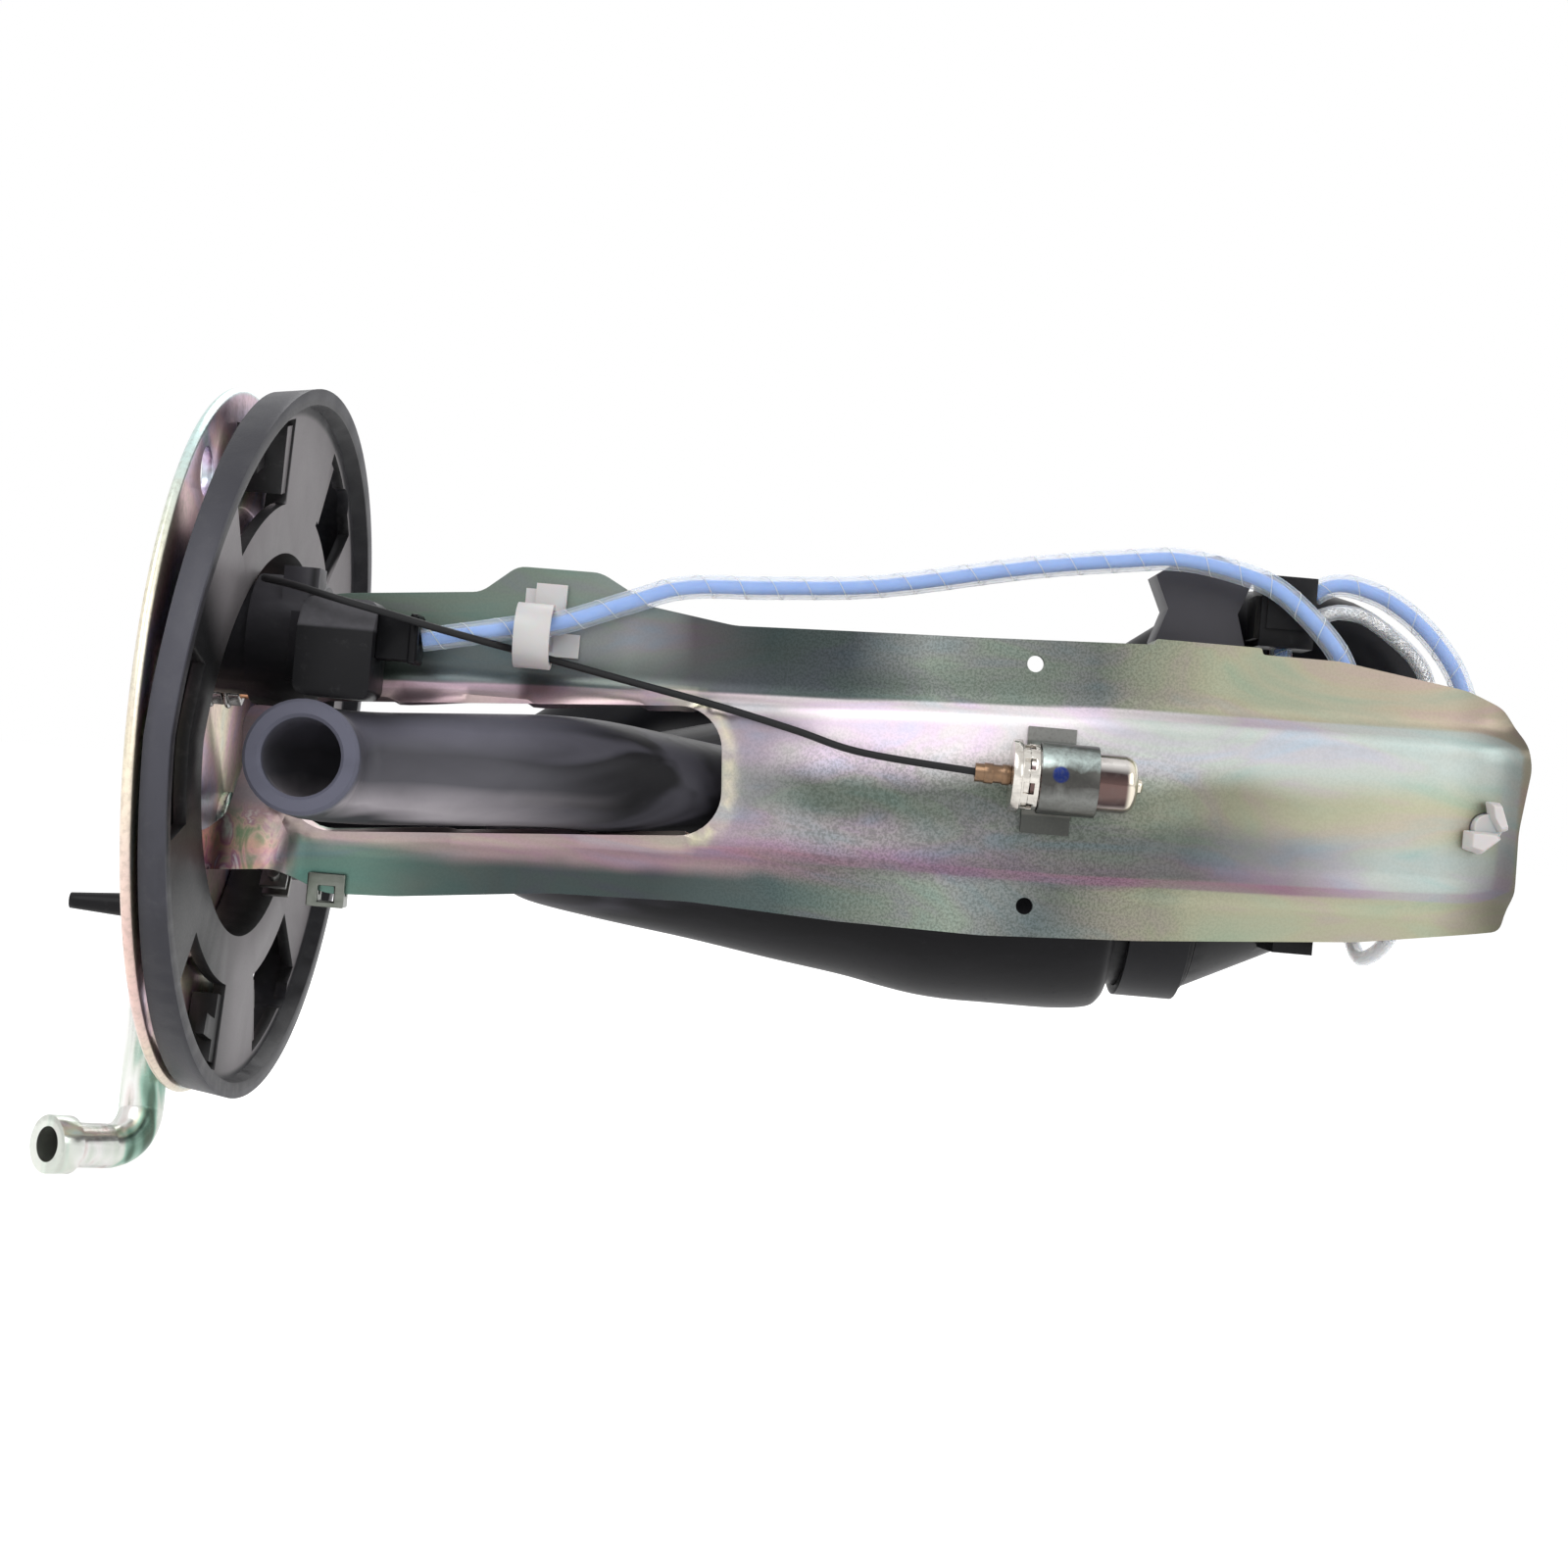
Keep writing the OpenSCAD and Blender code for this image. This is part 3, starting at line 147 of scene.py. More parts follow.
class ModuleSizes(bpy.types.PropertyGroup):
    """Sizes of the dressing that a user may change"""
    edge: measure("Edge radius", "Rounding of moulded and machined edges", 0.00018, 0.0)
    grid: measure("Sheet grid", "Spacing of the points over the bracket sheet", 0.0013, 0.0006)
    wrap_pitch: measure("Wrap pitch", "Advance of the spiral wrap in a turn", 0.0047, 0.002)


class ModuleColours(bpy.types.PropertyGroup):
    """Colours of the dressing that a user may change"""
    teal: tint("Green zinc", "Green cast of the plating near the flange", (0.27, 0.345, 0.315))
    dark: tint("Dark zinc", "Darkest cast of the plating behind the hose end", (0.065, 0.085, 0.09))
    grey: tint("Grey zinc", "Grey cast of the plating half way along", (0.22, 0.26, 0.24))
    olive: tint("Olive zinc", "Yellow cast of the plating at the free end", (0.37, 0.375, 0.29))
    tan: tint("Tan zinc", "Warm cast of the plating at the free end", (0.44, 0.39, 0.32))
    # The pale and silver casts also serve as painted highlights in the channel and on the bends.
    pale: tint("Pale zinc", "Bright cast of the plating in the channel", (0.84, 0.79, 0.89))
    silver: tint("Silver zinc", "Neutral cast of the channel towards the free end", (0.50, 0.55, 0.56))
    pink: tint("Pink zinc", "Pink cast of the plating on the bends", (0.48, 0.37, 0.42))
    nylon: tint("Black nylon", "Moulded black nylon", (0.006, 0.006, 0.007))
    # The ring's tint is the lit tone of its front face; its sides stay near black.
    web: tint("Ring nylon", "Moulded nylon of the ring", (0.215, 0.200, 0.208))
    rubber: tint("Rubber", "Moulded rubber", (0.030, 0.029, 0.036))
    white: tint("White nylon", "Natural nylon of the clips", (0.64, 0.62, 0.62))
    blue: tint("Blue lead", "Insulation of the feed leads", (0.21, 0.37, 0.76))
    floor: tint("Floor", "Floor and backdrop", (0.9, 0.9, 0.9))


class Socket:
    """An output of a shader node. Operators on it add Math nodes, and numbers may stand on either side."""

    def __init__(self, nodes, out):
        self.nodes, self.out = nodes, out

    def operator(operation, swapped=False):
        """A method that adds a Math node of this socket and another value."""
        def apply(self, other=0.0):
            a, b = (other, self) if swapped else (self, other)
            return self.nodes.add("ShaderNodeMath", {"operation": operation}, {0: a, 1: b})
        return apply

    __add__ = __radd__ = operator("ADD")
    __mul__ = __rmul__ = operator("MULTIPLY")
    __sub__, __rsub__ = operator("SUBTRACT"), operator("SUBTRACT", True)
    __truediv__, __rtruediv__ = operator("DIVIDE"), operator("DIVIDE", True)
    __pow__, __abs__ = operator("POWER"), operator("ABSOLUTE")

    def step(self, low, high):
        """0 below low, 1 above high and smooth between."""
        return self.nodes.add("ShaderNodeMapRange", {"interpolation_type": "SMOOTHSTEP"},
                              {"Value": self, "From Min": low, "From Max": high})

    def band(self, low, full, still, gone):
        """0 outside, 1 from full to still, and smooth between."""
        return self.step(low, full) * (1 - self.step(still, gone))


class Nodes:
    """A node tree and the one way in which nodes come into it."""

    def __init__(self, tree):
        self.tree = tree

    def add(self, kind, settings, values, out=0):
        """Adds any node: its settings first, then the values or links of its sockets, by name or number."""
        node = self.tree.nodes.new(kind)
        for key, value in settings.items():
            if key == "stops":
                self.fill_ramp(node.color_ramp, value)
            else:
                setattr(node, key, value)
        for key, value in values.items():
            self.put(node, key, value)
        return Socket(self, node.outputs[out])

    def put(self, node, key, value):
        """Links a socket's output to an input, or gives the input a plain value."""
        if isinstance(value, Socket):
            self.tree.links.new(value.out, node.inputs[key])
        else:
            node.inputs[key].default_value = value

    def fill_ramp(self, ramp, stops):
        """Gives a colour ramp its stops."""
        while len(ramp.elements) < len(stops):
            ramp.elements.new(1.0)
        for element, (at, colour) in zip(ramp.elements, stops):
            element.position = at
            element.color = (*colour, 1.0)

    def seen(self):
        """1 for what the camera, a mirror or glass sees."""
        kinds = [self.add("ShaderNodeLightPath", {}, {}, k)
                 for k in ("Is Camera Ray", "Is Glossy Ray", "Is Transmission Ray")]
        return (kinds[0] + kinds[1] + kinds[2]).step(0.0, 1.0)


class Finish(Nodes):
    """A material made of expressions: coordinates in millimetres, patterns and the surface they feed."""

    def __init__(self, name, **constants):
        self.material = bpy.data.materials.new(name + "_finish")
        self.material.use_nodes = True
        super().__init__(self.material.node_tree)
        self.shader = self.tree.nodes["Principled BSDF"]
        for socket, value in constants.items():
            self.shader.inputs[socket.replace("_", " ")].default_value = value
        here = self.add("ShaderNodeTexCoord", {}, {}, "Object")
        self.place = self.add("ShaderNodeVectorMath", {"operation": "SCALE"}, {0: here, "Scale": 1 / MM})
        self.x, self.y, self.z = (self.add("ShaderNodeSeparateXYZ", {}, {0: self.place}, k) for k in "XYZ")

    def noise(self, size, detail=3.0, rough=0.5, at=None, warp=0.0):
        """Cloudy noise whose features are about size millimetres across."""
        return self.add("ShaderNodeTexNoise", {"noise_dimensions": "3D"},
                        {"Vector": at or self.place, "Scale": 1 / size, "Detail": detail, "Roughness": rough,
                         "Distortion": warp}, "Fac")

    def stretched(self, sx, sy, sz):
        """Coordinates squeezed by a factor along each axis, for streaks."""
        return self.add("ShaderNodeVectorMath", {"operation": "MULTIPLY"}, {0: self.place, 1: (sx, sy, sz)})

    def ramp(self, fac, stops):
        """A colour picked along the stops."""
        return self.add("ShaderNodeValToRGB", {"stops": stops}, {0: fac})

    def mix(self, fac, a, b, blend="MIX"):
        """Two colours mixed by a factor."""
        full = [c if isinstance(c, Socket) else (*c, 1.0) for c in (a, b)]
        return self.add("ShaderNodeMix", {"data_type": "RGBA", "blend_type": blend, "clamp_factor": True},
                        {0: fac, 6: full[0], 7: full[1]}, 2)

    def tinted(self, colour, tint):
        """A colour multiplied by another."""
        return self.mix(1.0, colour, tint, "MULTIPLY")

    def past(self, low, high):
        """0 near the flange's axis, 1 beyond a radius of high millimetres."""
        return (self.y * self.y + self.z * self.z).step(low ** 2, high ** 2)

    def feed(self, **surfaces):
        """Links what varies to the surface's own sockets."""
        for socket, value in surfaces.items():
            self.tree.links.new(value.out, self.shader.inputs[socket.replace("_", " ")])
        return self

    def bump(self, height, depth):
        """Feeds a relief of depth millimetres to the normal and gives the material."""
        relief = self.add("ShaderNodeBump", {}, {"Distance": depth * MM, "Height": height}, "Normal")
        return self.feed(Normal=relief).material

    def surface(self, colour, rough, height, depth):
        """Feeds the colour, the roughness and a relief of depth millimetres, and gives the material."""
        return self.feed(Base_Color=colour, Roughness=rough).bump(height, depth)


def times(rgb, k):
    """A colour made lighter or darker."""
    return tuple(k * v for v in rgb)


def along(f, place, rows):
    """A gradient along X. Each row holds a place in millimetres, a colour and its brightness."""
    start, span = -4, 190
    stops = [((x - start) / span, times(rgb, share)) for x, rgb, share in rows]
    return f.ramp((place - start) / span, stops)


def plate_sides(f, c, drift, above):
    """The two side strips: green by the flange, dark behind the hose end, olive at the free end, with
    painted shade in a band above the upper bend.
    """
    upper = along(f, drift, [
        (20, c.teal, 0.37), (50, c.teal, 0.62), (59, c.silver, 0.45), (67, c.pale, 0.10),
        (78, c.dark, 0.62), (88, c.dark, 0.85), (101, c.grey, 1.15), (120, c.grey, 0.6),
        (138, c.olive, 0.92), (164, c.tan, 0.98)])
    # painted shade in a band just above the upper bend
    shade = (1 - above.step(1.5, 6.5)) * (1 - f.x.step(78, 128)) * 0.6
    upper = f.mix(shade, upper, times(c.dark, 0.9))
    lower = along(f, drift, [
        (22, c.teal, 0.42), (42, c.dark, 0.76), (62, c.dark, 0.7), (78, c.dark, 1.2), (91, c.grey, 0.74),
        (105, c.grey, 1.18), (118, c.grey, 0.58), (134, c.olive, 0.84), (160, c.olive, 0.96)])
    leaf = f.x.band(14.2, 15.6, 20, 33)
    lower = f.mix(leaf * 0.8, lower, (0.11, 0.205, 0.185))
    return f.mix(f.z.step(-2, 6), lower, upper)


def plate_channel(f, c, drift, level):
    """The raised middle: painted reflection bands by the level across it, a pale painted highlight along its
    top, a grey heart and a darker trough.
    """
    # pale painted highlight along the top of the channel
    top_highlight = along(f, drift, [
        (10, c.pink, 0.5), (45, c.pink, 0.95), (72, c.pale, 0.36), (79, c.pale, 0.42), (87, c.pale, 0.92),
        (106, c.pale, 1.0), (130, c.silver, 0.95), (165, c.silver, 1.0)])
    heart = along(f, drift, [
        (10, c.pink, 0.75), (64, c.silver, 0.8), (72, c.silver, 0.58), (86, c.grey, 0.56),
        (104, c.grey, 0.66), (122, c.grey, 0.84), (138, c.olive, 0.62), (163, c.olive, 1.2)])
    trough = along(f, drift, [
        (10, c.pink, 0.75), (58, c.pink, 0.58), (80, c.pale, 0.38), (97, c.pale, 0.34), (111, c.grey, 0.7),
        (134, c.grey, 0.52), (150, c.silver, 0.42), (163, c.silver, 0.8)])
    return f.mix(level.step(0.50, 0.74), f.mix(level.step(0.24, 0.42), trough, heart), top_highlight)


def plate_bend_highlights(f, c, drift):
    """The pink and pale lines of the upper and the lower bend: iridescent tints with painted highlights
    along the bends.
    """
    high = along(f, drift, [
        (10, c.pink, 0.6), (35, c.pink, 1.25), (55, c.pink, 0.8), (90, c.pale, 0.78), (116, c.pale, 0.9),
        (141, c.pale, 0.5), (168, c.silver, 0.95)])
    low = along(f, drift, [
        (6, c.pink, 0.85), (60, c.pink, 0.8), (78, c.pink, 0.62), (96, c.pale, 0.28), (124, c.pink, 0.48),
        (150, c.pink, 0.45), (165, c.pale, 0.42)])
    return f.mix(f.z.step(-2, 6), low, high)


def plate_throat(f, sheet):
    """Adds the mottled throat by the flange, iridescent tints with painted highlights, and painted shade in
    the crease beside it.
    """
    throat = (1 - f.x.step(9, 15)) * (1 - f.z.step(-12, -7))
    # iridescent tints, with the pale flecks as painted highlights
    blush = f.ramp(f.noise(4, 3, 0.6, f.stretched(1, 1, 0.7), 1.2), [
        (0.34, (0.30, 0.36, 0.22)), (0.44, (0.74, 0.50, 0.40)), (0.52, (0.50, 0.24, 0.32)),
        (0.60, (0.92, 0.84, 0.80)), (0.68, (0.22, 0.17, 0.20))])
    sheet = f.mix(throat * 0.9, sheet, blush)
    # painted shade in the crease beside the throat
    crease = (f.x - (f.z + 13) * 0.3).band(12.0, 13.6, 14.0, 15.4)
    return f.mix(crease * (1 - f.z.step(-12, -9)) * 0.85, sheet, (0.035, 0.04, 0.04))


def zinc_plate(name, c):
    """Iridescent zinc plating of the bracket: green by the flange, pale channel, pink bends, olive end, with
    painted reflections, highlights and shade in these tones.
    """
    f = Finish(name, Metallic=0.94, IOR=1.9)
    cloud = f.noise(30, 2, 0.5, warp=0.8)
    drift = f.x + (cloud - 0.5) * 16
    high = f.z + (cloud - 0.5) * 6
    above = f.z - (9.6 + f.x * 0.043)
    level = (high + 12 - f.x * 0.0257) / (20.9 + f.x * 0.02)
    rise = (0 - f.y).step(-SIDE_Y + 0.35, -WEB_Y - 0.35)
    sheet = f.mix(rise, plate_sides(f, c, drift, above), plate_channel(f, c, drift, level))
    bend = (1 - (abs(rise - 0.5) * 2)).step(0.0, 0.4)
    # painted highlights along the bends, with pink tints
    sheet = f.mix(bend * 0.9, sheet, plate_bend_highlights(f, c, drift))
    sheet = plate_throat(f, sheet)
    skirt = level.band(-0.16, -0.05, 0.02, 0.1) * f.x.band(24, 40, 74, 96)
    sheet = f.mix(skirt * 0.8, sheet, (0.29, 0.205, 0.235))
    line = (1 - abs(level - 0.07).step(0.01, 0.13)) * f.x.band(60, 84, 146, 164)
    sheet = f.mix(line * 0.7, sheet, f.tinted(sheet, (1.08, 0.78, 1.02)))
    # painted shade over the curled free end of the sheet
    painted_curl_shade = (f.x + (cloud - 0.5) * 3).step(168.5, 180)
    sheet = f.mix(painted_curl_shade * 0.92, sheet, f.tinted(sheet, (0.24, 0.235, 0.235)))
    lip = f.add("ShaderNodeAttribute", {"attribute_name": "lip"}, {}, "Fac")
    sheet = f.mix(lip * 0.75, sheet, f.mix(f.x.step(58, 70), (0.42, 0.36, 0.34), (0.66, 0.66, 0.48)))
    rainbow = f.ramp(f.noise(12, 3, 0.55, f.stretched(0.4, 1, 1.3), 1.4), [
        (0.30, (0.62, 1.0, 0.86)), (0.42, (1.0, 1.08, 0.92)), (0.50, (1.1, 1.04, 0.84)),
        (0.58, (1.16, 0.88, 0.98)), (0.70, (0.86, 0.94, 1.2))])
    sheet = f.mix(0.42, sheet, f.tinted(sheet, rainbow))
    coarse = f.x.band(66, 88, 122, 146) * (1 - level.step(0.6, 0.9) * (1 - above.step(-1, 1)))
    grain = f.noise(0.34, 2, 0.7)
    speck = grain.step(0.40, 0.62) * (coarse * 0.5 + 0.12)
    sheet = f.mix(speck, sheet, f.tinted(sheet, (0.45, 0.48, 0.45)))
    streak = f.noise(1.2, 2, 0.6, f.stretched(0.08, 1, 1))
    return f.surface(sheet, 0.27 + f.noise(5, 4, 0.6) * 0.16 + coarse * grain * 0.25,
                     streak * 0.3 + grain * (coarse * 0.6 + 0.15), 0.014)


def zinc_cover(name):
    """Yellow zinc plating of the round cover, with pink and blue clouds and a pale edge."""
    f = Finish(name, Metallic=0.92, IOR=1.9)
    cloud = f.noise(26, 3, 0.55, warp=1.0)
    face = f.ramp(cloud + f.z * 0.0016, [
        (0.28, (0.50, 0.62, 0.62)), (0.42, (0.74, 0.66, 0.50)), (0.52, (0.78, 0.52, 0.56)),
        (0.62, (0.58, 0.48, 0.66)), (0.76, (0.50, 0.70, 0.68))])
    edge = f.ramp((f.z + (cloud - 0.5) * 24) / 100 + 0.5, [
        (0.02, (0.74, 0.66, 0.52)), (0.22, (0.72, 0.50, 0.46)), (0.45, (0.84, 0.76, 0.60)),
        (0.66, (0.88, 0.84, 0.66)), (0.90, (0.60, 0.80, 0.76))])
    colour = f.mix(f.past(48.9, 49.8) * 0.9, face, edge)
    grain = f.noise(0.9, 3, 0.65)
    colour = f.mix(grain.step(0.4, 0.7) * 0.3, colour, (0.28, 0.24, 0.20))
    return f.surface(colour, 0.24 + grain * 0.2, f.noise(0.7, 2, 0.6), 0.015)


def tube_zinc(name):
    """Clear zinc plating of the bent tube: painted reflections as long green, brown and white streaks,
    darker towards the flange.
    """
    f = Finish(name, Metallic=0.95, IOR=2.0)
    # painted reflection streaks, shifted darker towards the flange
    streak = f.noise(4.6, 2, 0.5, f.stretched(1.0, 1.0, 0.12), 0.4)
    colour = f.ramp(streak + f.x.step(-8.5, -4.5) * -0.08, [
        (0.26, (0.07, 0.055, 0.04)), (0.34, (0.10, 0.17, 0.13)), (0.42, (0.30, 0.46, 0.38)),
        (0.50, (0.60, 0.64, 0.58)), (0.60, (0.74, 0.74, 0.72)), (0.72, (0.60, 0.50, 0.48))])
    end = f.x.step(-13.2, -14.2)
    grain = f.noise(0.5, 3, 0.7, f.stretched(0.2, 1, 1))
    return f.surface(f.mix(end * 0.75, colour, (0.66, 0.68, 0.63)), 0.16 + grain * 0.16, grain, 0.012)


def sensor_plating(name):
    """Polished nickel of the sensor can: painted reflections as dark and pinkish bands and a pale highlight
    round its axis, and a cream end.
    """
    f = Finish(name, Metallic=0.95, IOR=2.0)
    reflection_wobble = f.noise(3, 2, 0.5, f.stretched(0.3, 1, 1), 0.6)
    # painted reflection bands, set by height across the can
    colour = f.ramp((f.z - 0.8) / 7.8 + (reflection_wobble - 0.5) * 0.16, [
        (0.02, (0.42, 0.36, 0.33)), (0.14, (0.045, 0.03, 0.03)), (0.28, (0.13, 0.085, 0.078)),
        (0.52, (0.115, 0.07, 0.064)), (0.66, (0.045, 0.03, 0.03)), (0.80, (0.80, 0.77, 0.74)),
        (0.97, (0.34, 0.30, 0.28))])
    colour = f.mix(f.x.step(125.2, 126.0) * 0.85, colour, (0.80, 0.74, 0.62))
    stain = f.noise(1.2, 3, 0.6)
    colour = f.mix(stain.step(0.5, 0.75) * 0.25, colour, (0.14, 0.12, 0.11))
    return f.surface(colour, 0.08 + stain * 0.12, stain, 0.004)


def band_zinc(name):
    """Grey-green zinc of the sensor's clip, with painted reflection bands by height, dark legs painted as
    shaded below and lighter as lit above, and an inspection mark on its front.
    """
    f = Finish(name, Metallic=0.9, IOR=1.9)
    cloud = f.noise(2.5, 3, 0.6, warp=0.6)
    # painted reflection bands by height
    colour = f.ramp((f.z + 0.1) / 9.6 + (cloud - 0.5) * 0.3, [
        (0.04, (0.10, 0.10, 0.09)), (0.24, (0.19, 0.195, 0.185)), (0.42, (0.05, 0.048, 0.045)),
        (0.62, (0.06, 0.06, 0.055)), (0.80, (0.46, 0.54, 0.52)), (0.96, (0.14, 0.15, 0.14))])
    # lower legs painted dark as shaded, upper legs lighter as lit
    legs = abs(f.z - 4.7).step(4.9, 5.2)
    colour = f.mix(legs * 0.9, colour, f.mix(f.z.step(2, 6), (0.05, 0.052, 0.048), (0.21, 0.21, 0.20)))
    mark = ((f.x - 116.4) ** 2 + (f.z - 5.3) ** 2).step(1.5, 0.8)
    colour = f.mix(mark, colour, (0.008, 0.02, 0.12))
    grain = f.noise(0.4, 3, 0.65)
    colour = f.mix(grain.step(0.45, 0.7) * 0.3, colour, (0.08, 0.08, 0.07))
    return f.surface(colour, 0.24 + grain * 0.18, grain, 0.01)


def plated(name, rgb, rough, warm=(0.9, 0.8, 0.7), size=6.0, scuff=0.012):
    """A plated or drawn metal with faint stains, scratches and a soft grain."""
    f = Finish(name, Metallic=0.95, IOR=2.0)
    stain = f.noise(size, 4, 0.6, warp=0.5)
    colour = f.mix(stain.step(0.4, 0.7) * 0.45, rgb, tuple(a * b for a, b in zip(rgb, warm)))
    scratch = f.noise(0.5, 3, 0.7, f.stretched(0.12, 1, 1))
    colour = f.mix(scratch.step(0.5, 0.75) * 0.3, colour, times(rgb, 0.6))
    return f.surface(colour, rough + scratch * 0.16 + stain * 0.08, scratch, scuff)


def moulded(name, rgb, rough, grain_size=0.35, depth=0.012):
    """Moulded nylon or resin: fine spark texture, cloudy flow and pale dust."""
    f = Finish(name, Specular_IOR_Level=0.14)
    flow = f.noise(9, 3, 0.55, f.stretched(0.5, 1, 1), 0.8)
    grain = f.noise(grain_size, 2, 0.7)
    dust = f.noise(2.2, 5, 0.7).step(0.52, 0.74)
    lighter = [k * 1.7 + 0.004 for k in rgb]
    colour = f.mix(dust * 0.10, f.mix(flow * 0.55, rgb, lighter), [k + 0.08 for k in lighter])
    return f.surface(colour, rough + grain * 0.14 + dust * 0.08 - flow * 0.06, grain + flow * 0.6, depth)


def ring_nylon(name, rgb):
    """Moulded nylon of the ring: black sides, a warm grey web whose front face is painted lighter as lit, a
    darker bluish rim with a painted lit band on its outer side, and cloudy flow.
    """
    f = Finish(name, Specular_IOR_Level=0.25)
    flow = f.noise(7, 3, 0.55, f.stretched(1, 0.5, 0.5), 0.9)
    facing = f.add("ShaderNodeNewGeometry", {}, {}, "Normal")
    # faces towards +X take the web's tone: painted light on the front face
    front = f.add("ShaderNodeSeparateXYZ", {}, {0: facing}, "X").step(0.3, 0.6) * f.x.step(4.0, 5.0)
    web = f.mix(flow * 0.5, times(rgb, 0.95), times(rgb, 1.5))
    colour = f.mix(front, (0.011, 0.011, 0.012), web)
    colour = f.mix(f.past(46.6, 47.6) * 0.95, colour, (0.018, 0.018, 0.022))
    # painted light on the outer side of the rim
    lit = (f.z + (flow - 0.5) * 30).step(-38, 10) * (1 - f.z.step(14, 40))
    colour = f.mix(f.past(49.2, 49.6) * (0.3 + lit * 0.7), colour, (0.066, 0.066, 0.082))
    dust = f.noise(2.4, 5, 0.7).step(0.50, 0.74)
    grain = f.noise(0.35, 2, 0.7)
    return f.surface(f.mix(dust * 0.12, colour, (0.12, 0.12, 0.12)), 0.42 + grain * 0.14 - flow * 0.08,
                     grain + flow * 0.6, 0.014)


def rubber_skin(f, rgb, rough=0.36):
    """Surface that all rubber here has in common: bloom, a fine skin and small marks."""
    bloom = f.noise(14, 4, 0.6, f.stretched(0.6, 1, 1), 0.9)
    grain = f.noise(0.3, 2, 0.6)
    marks = f.noise(1.6, 4, 0.75).step(0.56, 0.78)
    colour = f.mix(bloom.step(0.42, 0.75) * 0.22, rgb, (0.026, 0.025, 0.030))
    colour = f.mix(marks * 0.05, colour, (0.10, 0.10, 0.11))
    return f.surface(colour, rough + bloom * 0.14 + marks * 0.12, grain * 0.4 + marks * 0.35 + bloom, 0.02)


def moulded_rubber(name, rgb, rough=0.38):
    """Dense black rubber."""
    return rubber_skin(Finish(name, Specular_IOR_Level=0.12), rgb, rough)


def strap_rubber(name, rgb):
    """Rubber of the strap: black round the pump, greyer on the block that holds the tab."""
    f = Finish(name, Specular_IOR_Level=0.12)
    block = f.z.step(17, 19) * (0.5 + f.z.step(19, 31) * 0.5)
    return rubber_skin(f, f.mix(block, rgb, (0.070, 0.068, 0.078)))


def hose_rubber(name, rgb):
    """Rubber of the suction hose and its bell: painted highlight bands and a lighter mouth face by the open
    end, painted shade making it nearly black towards the bell and underneath.
    """
    f = Finish(name, Specular_IOR_Level=0.12)
    lights = f.noise(7.5, 2, 0.5, f.stretched(0.16, 1, 1), 0.7)
    # painted highlight bands across the hose, set by height
    painted_highlight_bands = f.ramp((f.z + 10.6 + (lights - 0.5) * 5 - f.x * 0.02) / 20, [
        (0.06, (0.05, 0.048, 0.055)), (0.17, (0.42, 0.39, 0.42)), (0.34, (0.10, 0.098, 0.112)),
        (0.52, (0.066, 0.065, 0.075)), (0.72, (0.125, 0.122, 0.152)), (0.93, (0.05, 0.05, 0.06))])
    lip = (1 - f.y.step(-36.2, -33.0)) * (1 - f.x.step(26, 30))
    painted_highlight_bands = f.mix(lip, painted_highlight_bands, (0.12, 0.122, 0.162))
    # dark part: painted shade with faint painted highlight streaks
    dark = f.mix(lights.step(0.46, 0.64) * (1 - f.x.step(60, 84)), times(rgb, 0.16), times(rgb, 1.8))
    # painted shade under the bell
    painted_under_shade = (1 - f.z.step(-26, -15)) * f.x.step(60, 90)
    dark = f.mix(painted_under_shade * 0.95, dark, times(rgb, 0.16))
    fade = (f.x + (lights - 0.5) * 22).step(38, 60)
    return rubber_skin(f, f.mix(fade, painted_highlight_bands, dark))


def housing_nylon(name, rgb):
    """Glass-filled nylon of the terminal housing: nearly black, with a painted highlight and scuffs along
    the top bevel, a painted highlight on the cap, and scuffs.
    """
    f = Finish(name, Specular_IOR_Level=0.14)
    flow = f.noise(6, 3, 0.55, f.stretched(0.5, 1, 1), 0.8)
    scuff = f.noise(2.0, 5, 0.7)
    # painted highlight along the top bevel, broken up by scuffs
    bevel = f.z.step(15.9, 16.5) * f.x.step(14.4, 15.4)
    colour = f.mix(flow * 0.5, rgb, times(rgb, 2.0))
    colour = f.mix(bevel * (0.45 + scuff * 0.6), colour, (0.085, 0.083, 0.092))
    # painted highlight on the cap
    cap_highlight = (1 - f.x.step(13.6, 14.6)) * f.z.step(8, 22)
    colour = f.mix(cap_highlight * (0.4 + flow * 0.7), colour, (0.072, 0.070, 0.080))
    colour = f.mix(scuff.step(0.55, 0.75) * 0.12, colour, (0.10, 0.10, 0.10))
    grain = f.noise(0.35, 2, 0.7)
    return f.surface(colour, 0.3 + grain * 0.16 + scuff * 0.08, grain + flow * 0.5, 0.012)


def natural_nylon(name, rgb):
    """Milky natural nylon that lets a little light through."""
    f = Finish(name, Subsurface_Weight=0.35, Subsurface_Scale=0.002, Transmission_Weight=0.12, IOR=1.5)
    milk = f.noise(3, 3, 0.5, warp=0.4)
    grain = f.noise(0.3, 2, 0.6)
    return f.surface(f.mix(milk * 0.4, rgb, (0.66, 0.67, 0.66)), 0.34 + grain * 0.16, grain + milk, 0.012)


def insulation(name, rgb, rough=0.28):
    """Extruded insulation of a lead, with slight streaks along X."""
    f = Finish(name, Specular_IOR_Level=0.25)
    streak = f.noise(1.4, 3, 0.6, f.stretched(0.2, 1, 1))
    grain = f.noise(0.25, 2, 0.6)
    colour = f.mix(streak * 0.35, rgb, [k * 1.25 + 0.02 for k in rgb])
    return f.surface(colour, rough + grain * 0.12, streak + grain, 0.01)


